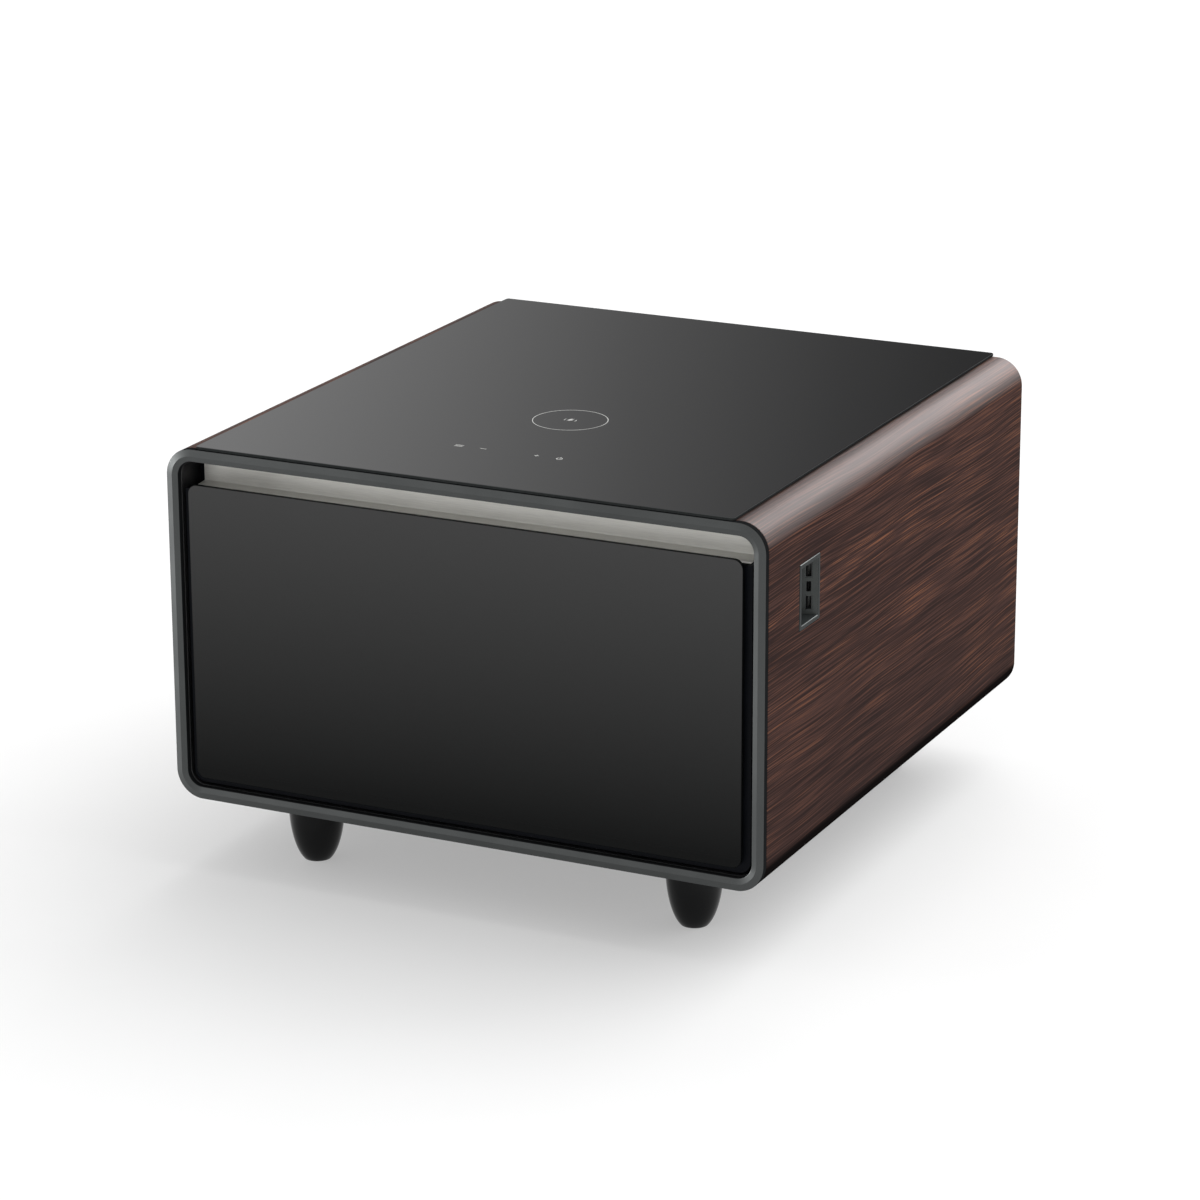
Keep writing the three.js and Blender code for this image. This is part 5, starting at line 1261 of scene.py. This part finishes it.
@dataclass
class PortTray:
    """The three-cornered pocket in the right side, with its rim, slanting panel and three sockets.

    The pocket is drawn in plan: its panel runs `along` from the inner corner to the rear edge, and
    `inward` points from the panel into the body. Half sizes are (along the panel, up). The rounds and
    the ease of sleeves and blocks are shares: of the least half size, and of the sleeve's outer round.
    """

    turn: float = math.radians(26.6)
    panel: float = 18 * MM
    rim: float = 4.6 * MM
    rim_sink: float = 1.2 * MM
    rim_chamfer: float = 0.5 * MM
    rim_radii: Point = (1.4 * MM, 1.0 * MM, 0.7 * MM)
    rim_steps: int = 6
    face_sink: float = 0.3 * MM
    ramp_sink: float = 0.2 * MM
    wall: float = 1.5 * MM
    panel_edge: float = 0.15 * MM
    pitch: float = 16.3 * MM
    recess: float = 0.4 * MM
    gap: float = 0.15 * MM
    sleeve_round: float = 0.35
    inner_round: float = 0.7
    block_ease: float = 0.25
    a_half: Pair = (3.3 * MM, 7.2 * MM)
    a_reach: float = 14 * MM
    a_shell: float = 0.5 * MM
    a_tongue: Pair = (0.9 * MM, 5.6 * MM)
    a_tongue_offset: Pair = (-1.1 * MM, 0.0)
    a_tongue_ends: float = 1.2 * MM
    a_contact: Pair = (0.06 * MM, 0.5 * MM)
    a_contact_offset: float = -0.12 * MM
    a_contact_ends: Pair = (0.8 * MM, 1.0 * MM)
    a_contact_lifts: tuple[float, ...] = (-3.5 * MM, -1.2 * MM, 1.2 * MM, 3.5 * MM)
    c_half: Pair = (2.1 * MM, 4.9 * MM)
    c_reach: float = 8 * MM
    c_shell: float = 0.35 * MM
    c_tongue: Pair = (0.35 * MM, 3.3 * MM)
    c_tongue_ends: float = 0.9 * MM
    low: np.ndarray = field(init=False)
    high: np.ndarray = field(init=False)
    front: float = field(init=False)
    half: float = field(init=False)
    level: float = field(init=False)
    face: float = field(init=False)
    along: np.ndarray = field(init=False)
    inward: np.ndarray = field(init=False)
    corner: np.ndarray = field(init=False)
    middle: np.ndarray = field(init=False)
    edge: np.ndarray = field(init=False)

    def __post_init__(self) -> None:
        """Works out the pocket's plan from the housing's box."""
        self.low, self.high = span_of("port_housing")
        self.front = self.low[1] + self.rim
        self.half = (self.high[2] - self.low[2]) / 2 - self.rim
        self.level = (self.low[2] + self.high[2]) / 2
        self.face = self.high[0] - self.face_sink
        self.along = np.array([math.cos(self.turn), math.sin(self.turn)])
        self.inward = np.array([-math.sin(self.turn), math.cos(self.turn)])
        self.edge = np.array([self.face, self.high[1] - self.rim])
        self.middle = self.edge - self.along * self.panel / 2
        self.corner = self.edge - self.along * self.panel

    def build(self) -> None:
        """Makes the rim, the pocket, the panel and the sockets."""
        shells = [self.rim_ring(), *self.pocket()]
        Piece("port_rim", Body.CABINET, "port_metal", [RIM, PORT_HIGHLIGHT_EDGE], shells, ("port_housing",)).build()
        self.slanting_panel()
        self.sockets()

    def rim_ring(self) -> Shell:
        """The rim: a flat ring, chamfered outside and inside.

        The outer chamfer of its upper side and the inner one of its lower side, the two that face up, take a
        bright polished metal that paints the highlight they catch.

        Returns:
            The closed ring.
        """
        top, foot = self.high[0], self.face - self.rim_sink
        chamfer, width = self.rim_chamfer, self.rim
        outer, middle, inner = self.rim_radii
        rows = [
            (0, foot, outer), (0, top - chamfer, outer), (chamfer, top, middle),
            (width - chamfer, top, middle), (width, top - chamfer, inner), (width, foot, inner),
        ]
        points = carried_outline(Facing.SIDE, self.low[1:], self.high[1:], rows, self.rim_steps)
        ring = rows_shell(points, True, bands=[0] * len(rows))
        numbers = ring.bands.reshape(len(rows), -1)
        # painted highlight: the chamfers that face up take the bright edge finish
        outer_row, inner_row = 1, 3
        upper_side, lower_side = 2 * self.rim_steps + 1, -1
        numbers[outer_row, upper_side] = 1
        numbers[inner_row, lower_side] = 1
        return ring

    def pocket(self) -> list[Shell]:
        """The pocket's ceiling, floor and ramp, each a thin prism.

        Returns:
            The three closed surfaces.
        """
        start, corner = np.array([self.face, self.front]), self.corner
        sink = np.array([self.rim_sink, 0])
        deep = corner - self.along * self.wall + self.inward * self.wall
        plan = np.array([start - sink, self.edge - sink, deep])
        low, high = self.level - self.half, self.level + self.half
        back = self.along * self.wall
        ramp = np.array([start - [self.ramp_sink, 0], corner, corner - back, start - back])
        stack = ((plan, (high, high + self.wall)), (plan, (low - self.wall, low)), (ramp, (low, high)))
        return [extruded(outline, Facing.TOP, ends) for outline, ends in stack]

    def slanting_panel(self) -> None:
        """The panel: a sheet over (along, height) with a window for each socket."""
        a, c, gap = self.a_half, self.c_half, self.gap
        stations = np.array([self.panel / 2, a[0] + gap, c[0] + gap])
        across = np.sort(np.concatenate([-stations, stations]))
        spots = [(a, self.pitch), (c, 0.0), (a, -self.pitch)]
        windows = [(-h[0] - gap, h[0] + gap, z - h[1] - gap, z + h[1] + gap) for h, z in spots]
        along = np.array(sorted([-self.half, self.half, *(z for window in windows for z in window[2:])]))
        place = np.empty((len(along), len(across), 3))
        place[..., :2] = self.middle + across[None, :, None] * self.along
        place[..., 2] = self.level + along[:, None]
        sheet = windowed_sheet(across, along, place, windows).towards((self.along[1], -self.along[0], 0))
        Piece(
            "port_panel", Body.CABINET, "port_metal", [PORT], [sheet],
            bevel=self.panel_edge, solidify=self.wall,
        ).build()

    def at_panel(self, shell: Shell, lift: float) -> Shell:
        """Moves a surface drawn with x along the panel and y into the body to its place on the panel.

        Args:
            shell: the surface.
            lift: its height over the pocket's middle.

        Returns:
            The same surface.
        """
        x, y = shell.points[:, :1], shell.points[:, 1:2]
        shell.points[:, :2] = self.middle + x * self.along + y * self.inward
        shell.points[:, 2] += self.level + lift
        return shell

    def sleeve(self, half: Pair, reach: float, wall: float, lift: float) -> Shell:
        """A socket's metal sleeve with its closed rear end.

        Args:
            half: its half sizes.
            reach: how far it goes in.
            wall: its thickness.
            lift: its height over the pocket's middle.

        Returns:
            The closed surface.
        """
        outer = min(half) * self.sleeve_round
        inner = outer * self.inner_round
        rows = [
            (0, reach, outer), (0, self.recess, outer),
            (wall, self.recess, inner), (wall, reach - wall * 2, inner),
        ]
        points = carried_outline(Facing.FRONT, (-half[0], -half[1]), half, rows, steps=5)
        return self.at_panel(rows_shell(points, False), lift)

    def block(self, half: Pair, run: Pair, offset: Pair, lift: float) -> Shell:
        """A small block with eased edges inside a socket.

        Args:
            half: its half sizes.
            run: where it starts and ends, going in.
            offset: its middle from the socket's middle, along the panel and up.
            lift: the socket's height over the pocket's middle.

        Returns:
            The closed surface.
        """
        low = (offset[0] - half[0], offset[1] - half[1])
        high = (offset[0] + half[0], offset[1] + half[1])
        ease = min(half) * self.block_ease
        rows = [(ease, run[0], ease), (0, run[0] + ease, ease), (0, run[1], ease)]
        return self.at_panel(rows_shell(carried_outline(Facing.FRONT, low, high, rows, steps=3), False), lift)

    def sockets(self) -> None:
        """The two tall sockets and the small one between them, with tongues and contacts."""
        sleeves, tongues, contacts = [], [], []
        run = (self.recess + self.a_tongue_ends, self.a_reach - self.a_tongue_ends)
        contact_run = (run[0] + self.a_contact_ends[0], run[1] - self.a_contact_ends[1])
        for lift in (self.pitch, -self.pitch):
            sleeves.append(self.sleeve(self.a_half, self.a_reach, self.a_shell, lift))
            tongues.append(self.block(self.a_tongue, run, self.a_tongue_offset, lift))
            for up in self.a_contact_lifts:
                contacts.append(self.block(self.a_contact, contact_run, (self.a_contact_offset, up), lift))
        small = self.sleeve(self.c_half, self.c_reach, self.c_shell, 0.0)
        small.bands, small.cap_band = np.ones(len(small.quads), int), 1
        sleeves.append(small)
        run = (self.recess + self.c_tongue_ends, self.c_reach - self.c_tongue_ends)
        tongues.append(self.block(self.c_tongue, run, (0, 0), 0.0))
        Piece(
            "socket_sleeves", Body.CABINET, "zinc_steel", [SOCKET, TONGUE], sleeves,
            ("usb_a_upper", "usb_a_lower", "usb_c_socket"),
        ).build()
        Piece("socket_tongues", Body.CABINET, "black_plastic", [TONGUE], tongues).build()
        Piece("socket_contacts", Body.CABINET, "zinc_steel", [CONTACT], contacts).build()


@dataclass
class Liner:
    """The white tub inside the cabinet, with its flange round the mouth and the seal on the door."""

    flange_radius: float = 18.7 * MM
    inset: float = 31.3 * MM
    radius: float = 12 * MM
    least_radius: float = 1 * MM
    wall: float = 2 * MM
    lip: float = 2.5 * MM
    back_round: float = 10 * MM
    seal_radius: float = 27 * MM
    seal_width: float = 12 * MM
    rib_height: float = 2.4 * MM
    rib_fill: float = 0.8

    def build(self) -> None:
        """Makes the tub as rows that run from the outside of its back wall over the flange to the inside."""
        low, high = span_of("inner_liner")
        front, rear = low[1], high[1] - self.wall
        outside, r, flange = self.inset - self.wall, self.radius, self.flange_radius
        lip, back = self.lip, self.back_round
        rows = [(outside, high[1], r + self.wall), (outside, front + self.wall, r + self.wall)]
        rows += [(0, front + self.wall, flange), (0, front, flange)]
        rows += [(a, b, r + self.inset - a) for a, b in arc((self.inset - lip, front + lip), lip, -90, 90)]
        rows += [
            (a, b, max(r - (a - self.inset), self.least_radius))
            for a, b in arc((self.inset + back, rear - back), back, 180, -90, 8)
        ]
        tub = rows_shell(round_node("inner_liner", Facing.FRONT, rows, steps=16), False)
        Piece("liner_tub", Body.CABINET, "white_plastic", [WHITE], [tub], ("inner_liner",)).build()
        self.seal()

    def seal(self) -> None:
        """The seal on the door: a ring with two soft ribs, which end at the far face of its box."""
        low, high = span_of("door_gasket")
        near, far, width = low[1], high[1], self.seal_width
        foot, rib = far - self.rib_height, width / 4
        profile = [(0.0, near), (0.0, foot)]
        for middle in (rib, 3 * rib):
            profile += [(a, min(b, far)) for a, b in arc((middle, foot), rib * self.rib_fill, 180, -180, 8)]
        profile += [(width, foot), (width, near)]
        rows = round_node("door_gasket", Facing.FRONT, ring_rows(profile, self.seal_radius), steps=14)
        ring = rows_shell(rows, True)
        Piece("door_seal", Body.DRAWER, "grey_rubber", [GREY_RUBBER], [ring], ("door_gasket",)).build()


@dataclass
class DrawerBin:
    """The drawer's white bin with its rolled rim, and the divider across it."""

    rim: float = 2.5 * MM
    rim_height: float = 4 * MM
    rim_ease: float = 0.6 * MM
    rim_round: float = 1.4 * MM
    inner_round: float = 1 * MM
    wall: float = 2.5 * MM
    radius: float = 14 * MM
    least_radius: float = 1.5 * MM
    foot_round: float = 7 * MM

    def build(self) -> None:
        """Makes the bin as rows from the middle of its underside over the rim to its inner floor."""
        low, high = span_of("drawer_bin")
        foot, ease, roll, soft = self.foot_round, self.rim_ease, self.rim_round, self.inner_round
        top, inner = high[2], self.rim + self.wall
        under = top - self.rim_height
        rows = [(self.rim + a, b) for a, b in arc((foot, low[2] + foot), foot, -90, -90, 6)]
        rows += [(self.rim, under), (ease, under), (0, under + ease)]
        rows += arc((roll, top - roll), roll, 180, -90)
        rows += arc((inner - soft, top - soft), soft, 90, -90)
        rows += [(inner + a, b) for a, b in arc((foot, low[2] + self.wall + foot), foot, 180, 90, 6)]
        table = [(a, b, max(self.radius - max(a - self.rim, 0), self.least_radius)) for a, b in rows]
        tub = rows_shell(round_node("drawer_bin", Facing.TOP, table, steps=14), False)
        Piece("bin_tub", Body.DRAWER, "white_plastic", [WHITE], [tub], ("drawer_bin",)).build()
        self.divider()

    def divider(self) -> None:
        """The divider: an upright plate with a rounded top edge."""
        low, high = span_of("bin_divider")
        half, middle = (high[1] - low[1]) / 2, (high[1] + low[1]) / 2
        head = arc((middle, high[2] - half), half, 0, 180, 8)
        section = np.array([(low[1], low[2]), (high[1], low[2]), *head])
        plate = extruded(section, Facing.SIDE, (low[0], high[0]))
        Piece("divider_plate", Body.DRAWER, "white_plastic", [WHITE], [plate], ("bin_divider",)).build()


CAD_FINISHES: dict[str, Finish] = {
    "top_deck": DECK, "base_panel": DECK, "glass_seal": RUBBER, "foam_insulation": FOAM, "bulkhead": ZINC,
    "rear_panel": BLACK_SHEET, "rear_screw_lower_left": ZINC, "rear_screw_lower_right": ZINC,
    "rear_screw_upper_left": ZINC, "rear_screw_upper_right": ZINC, "liner_lamp": LAMP,
    "charger_coil": COPPER, "charger_board": BOARD, "touch_board": BOARD, "usb_board": BOARD,
    "compressor": BLACK_SHEET, "compressor_mount": ZINC, "compressor_damper": RUBBER,
    "condenser": ALUMINIUM, "evaporator": ALUMINIUM, "fan_shroud": THROAT, "fan_motor": BLACK_SHEET,
    "fan_impeller": THROAT, "discharge_line": COPPER, "liquid_line": COPPER, "filter_drier": COPPER,
    "capillary_tube": COPPER, "suction_line": COPPER, "control_box": WHITE, "power_inlet": THROAT,
    "inlet_harness": RUBBER, "door_frame": FRAME, "grip_backing": FRAME, "door_foam": FOAM,
    "door_inner_panel": WHITE, "outer_runner_left": ZINC, "outer_runner_right": ZINC,
    "middle_runner_left": ZINC, "middle_runner_right": ZINC, "inner_runner_left": ZINC,
    "inner_runner_right": ZINC,
}


def dress_cad_nodes() -> None:
    """Gives every CAD node that stays its own finish."""
    for node, finish in CAD_FINISHES.items():
        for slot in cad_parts[node].material_slots:
            slot.material = finish.material()
        LOG.info("%s dressed as %s", node, finish.name)


# ---- studio


def hang(name: str, light: bpy.types.Light, back: Vector) -> bpy.types.Object:
    """Puts a lamp into the scene, turned so that it looks away from a direction.

    Args:
        name: the lamp's name.
        light: the light that it gives.
        back: the direction from what it lights to the lamp.

    Returns:
        The lamp.
    """
    lamp = bpy.data.objects.new(name, light)
    lamp.rotation_mode = "QUATERNION"
    lamp.rotation_quaternion = back.to_track_quat("Z", "Y")
    bpy.context.scene.collection.objects.link(lamp)
    return lamp


def light_only(lamp: bpy.types.Object, label: str, pieces: list[bpy.types.Object]) -> None:
    """Lets a lamp light nothing but the given pieces.

    Args:
        lamp: the lamp.
        label: name of the collection that ties them together.
        pieces: what the lamp lights.
    """
    lit = bpy.data.collections.new(label)
    for piece in pieces:
        lit.objects.link(piece)
    lamp.light_linking.receiver_collection = lit


@dataclass(frozen=True)
class Softbox:
    """A soft rectangular lamp that shows only in the gloss of the pieces it is for."""

    name: str
    place: Point
    target: Point
    size: Pair
    power: float
    pieces: tuple[str, ...]
    colour: Colour = (1.0, 1.0, 1.0)

    def build(self) -> None:
        """Hangs the lamp at its place, turns it to its target and ties it to its pieces."""
        light = bpy.data.lights.new(self.name, "AREA")
        light.shape = "RECTANGLE"
        light.size, light.size_y = self.size
        light.energy = self.power
        light.color = self.colour
        lamp = hang(self.name, light, Vector(self.place) - Vector(self.target))
        lamp.location = self.place
        lamp.visible_camera = False
        lamp.visible_diffuse = False
        light_only(lamp, self.name + "_pieces", [bpy.data.objects[piece] for piece in self.pieces])


@dataclass(frozen=True)
class WideLamp:
    """A very wide, distant lamp that shows in no gloss.

    Its width, its compass angle (0 at the back and 90 at the right) and its rise over the horizon are
    in degrees. It stands along (sin turn x cos rise, cos turn x cos rise, sin rise).
    """

    name: str
    strength: float
    width: float
    turn: float
    rise: float

    def build(self) -> bpy.types.Object:
        """Hangs the lamp.

        Returns:
            The lamp.
        """
        light = bpy.data.lights.new(self.name, "SUN")
        light.energy = self.strength
        light.angle = math.radians(self.width)
        turn, rise = math.radians(self.turn), math.radians(self.rise)
        back = Vector((math.sin(turn) * math.cos(rise), math.cos(turn) * math.cos(rise), math.sin(rise)))
        lamp = hang(self.name, light, back)
        lamp.visible_glossy = False
        return lamp


LEGS = ("leg_front_left", "leg_front_right", "leg_rear_left", "leg_rear_right")
WOOD = ("right_veneer_wrap",)
PORT_METAL = ("port_rim", "port_panel", "socket_sleeves", "socket_contacts")
METAL = ("pull_strip", *PORT_METAL, *(leg.replace("leg", "bullet_leg") for leg in LEGS))
PANEL_CORNER = (0.31, 0.0, 0.43)
CORNER_TINT = (1.0, 0.9, 0.89)
FRONT_LEFT = (-5.48, -0.72, 0.66)
FRONT_MIDDLE = (0.0, -0.34, 0.26)
FRONT_SIZE = (3.6, 1.2)
SOFTBOXES = (
    Softbox("corner_softbox", (0.69, 2.11, 1.24), PANEL_CORNER, (1.5, 1.0), 19.0, WOOD, CORNER_TINT),
    Softbox("corner_fill", (-0.113, 1.991, 1.702), PANEL_CORNER, (1.0, 0.7), 5.5, WOOD, CORNER_TINT),
    Softbox("side_softbox", (1.98, 2.36, 4.14), (0.0, 0.0, 0.2), (5.0, 5.0), 148.0, WOOD + PORT_METAL),
    Softbox("front_softbox", FRONT_LEFT, FRONT_MIDDLE, FRONT_SIZE, 1130.0, METAL),
    Softbox("bezel_softbox", FRONT_LEFT, FRONT_MIDDLE, FRONT_SIZE, 780.0, ("bezel_ring",)),
)
KEY_LAMP = WideLamp("key", strength=2.2, width=75.0, turn=40.0, rise=52.0)
FLOOR_LAMP = WideLamp("floor_lamp", strength=2.0, width=90.0, turn=0.0, rise=20.0)


@dataclass
class Studio:
    """Pale floor, wide lamps, graded surroundings and the camera.

    Heights of the surroundings are the sine of the angle over the horizon. The compass stops are
    (angle in degrees, brightness), with 0 at the back and 90 at the right.
    """

    floor_half: float = 40.0
    floor_stations: int = 9
    floor_grey: float = 0.5
    floor_drift: float = 0.01
    floor_glow: float = 0.35
    white_to: Pair = (0.14, 0.2)
    overhead_from: Pair = (0.3, 0.62)
    overhead: float = 0.72
    compass_stops: tuple[Pair, ...] = (
        (-180, 0.75), (-90, 0.95), (-45, 0.95), (-31, 0.69), (-28.2, 0.48), (-25.5, 0.28), (-22.75, 0.143),
        (-20, 0.05), (-12, 0.04), (40, 0.08), (70, 0.3), (110, 0.55), (180, 0.75),
    )
    yaw: float = 0.45116
    pitch: float = 0.30983
    roll: float = -0.00361
    camera_place: Point = (1.84059, -3.82333, 1.59207)
    lens: float = 128.16
    sensor: float = 36.0
    far_end: float = 200.0

    def build(self) -> None:
        """Makes the floor, the lamps, the surroundings and the camera."""
        floor = self.floor()
        KEY_LAMP.build()
        light_only(FLOOR_LAMP.build(), "lit_floor", [floor])
        self.surroundings()
        self.camera()
        bpy.context.scene.view_settings.view_transform = "Standard"

    def floor(self) -> bpy.types.Object:
        """Makes the floor: a flat grid of points, pale, matt and weakly glowing.

        Returns:
            The floor.
        """
        count = self.floor_stations
        stations = np.linspace(-self.floor_half, self.floor_half, count)
        place = np.stack([*np.meshgrid(stations, stations), np.zeros((count, count))], axis=-1)
        mesh = bpy.data.meshes.new("studio_floor")
        mesh.from_pydata(place.reshape(-1, 3).tolist(), [], grid_quads(count, count, False, False).tolist())
        surface = Surface("studio_floor")
        drift = surface.noise(surface.place(), 3.0)
        tone = surface.span(drift, 0.3, 0.7, self.floor_grey - self.floor_drift, self.floor_grey)
        grey = surface.add("ShaderNodeCombineColor", Red=tone, Green=tone, Blue=tone).outputs[0]
        surface.dress(
            Base_Color=grey, Roughness=1.0, Specular_IOR_Level=0.0, Emission_Color=(1, 1, 1, 1),
            Emission_Strength=self.floor_glow,
        )
        mesh.materials.append(surface.material)
        floor = bpy.data.objects.new("studio_floor", mesh)
        bpy.context.scene.collection.objects.link(floor)
        return floor

    def surroundings(self) -> None:
        """Grades the world by direction: white at the horizon, bright at the left, darker at the back right.

        The brightness is a ramp over the compass angle atan2(x, y), blended by height into one value
        overhead and into white near the horizon.
        """
        world = bpy.data.worlds.new("studio")
        bpy.context.scene.world = world
        world.use_nodes = True
        world.node_tree.nodes.clear()
        nodes = Nodes(world.node_tree)
        unit = nodes.add("ShaderNodeVectorMath", {"operation": "NORMALIZE"})
        nodes.feed(unit.inputs[0], nodes.add("ShaderNodeTexCoord").outputs["Object"])
        split = nodes.add("ShaderNodeSeparateXYZ", Vector=unit.outputs[0]).outputs
        compass = nodes.math("DEGREES", nodes.math("ARCTAN2", split["X"], split["Y"]))
        ramp = nodes.add("ShaderNodeValToRGB")
        nodes.feed(ramp.inputs[0], nodes.math("DIVIDE", nodes.math("ADD", compass, 180.0), 360.0))
        self.grade(ramp.color_ramp)
        overhead = (self.overhead, self.overhead, self.overhead, 1)
        above = nodes.mix(nodes.span(split["Z"], *self.overhead_from), ramp.outputs[0], overhead)
        graded = nodes.mix(nodes.span(split["Z"], *self.white_to), (1, 1, 1, 1), above)
        light = nodes.add("ShaderNodeBackground", Color=graded, Strength=1.0)
        nodes.add("ShaderNodeOutputWorld", Surface=light.outputs[0])

    def grade(self, ramp: bpy.types.ColorRamp) -> None:
        """Sets the ramp's stops, all the places first, so that none changes its number on the way.

        Args:
            ramp: the ramp over the compass angle, from 0 for -180 degrees to 1 for 180.
        """
        ramp.interpolation = "LINEAR"
        while len(ramp.elements) < len(self.compass_stops):
            ramp.elements.new(0.5)
        for element, (degrees, _) in zip(ramp.elements, self.compass_stops):
            element.position = (degrees + 180) / 360
        for element, (_, value) in zip(ramp.elements, self.compass_stops):
            element.color = (value, value, value, 1)

    def camera(self) -> None:
        """Places the camera where the photograph's straight edges say it stood.

        It looks along (-sin yaw x cos pitch, cos yaw x cos pitch, -sin pitch), rolled about that line.
        """
        yaw, pitch, roll = self.yaw, self.pitch, self.roll
        ahead = Vector((-math.sin(yaw) * math.cos(pitch), math.cos(yaw) * math.cos(pitch), -math.sin(pitch)))
        right = Vector((math.cos(yaw), math.sin(yaw), 0))
        up = right.cross(ahead)
        across = math.cos(roll) * right + math.sin(roll) * up
        upward = -math.sin(roll) * right + math.cos(roll) * up
        lens = bpy.data.cameras.new("camera")
        lens.lens = self.lens
        lens.sensor_width = self.sensor
        lens.clip_end = self.far_end
        camera = bpy.data.objects.new("camera", lens)
        turn = Matrix((across, upward, -ahead)).transposed().to_4x4()
        camera.matrix_world = Matrix.Translation(self.camera_place) @ turn
        bpy.context.scene.collection.objects.link(camera)
        bpy.context.scene.camera = camera


def main() -> None:
    """Builds every sub-assembly in order."""
    Studio().build()
    dress_cad_nodes()
    for side in (-1, 1):
        SidePanel(side).build()
    FrontBezel().build()
    GlassTop().build()
    DrawerFront().build()
    for node in LEGS:
        Leg(node).build()
    PortTray().build()
    Liner().build()
    DrawerBin().build()
    for softbox in SOFTBOXES:
        softbox.build()


if __name__ == "__main__":
    logging.basicConfig(level=logging.INFO, format="%(name)s: %(message)s")
    main()
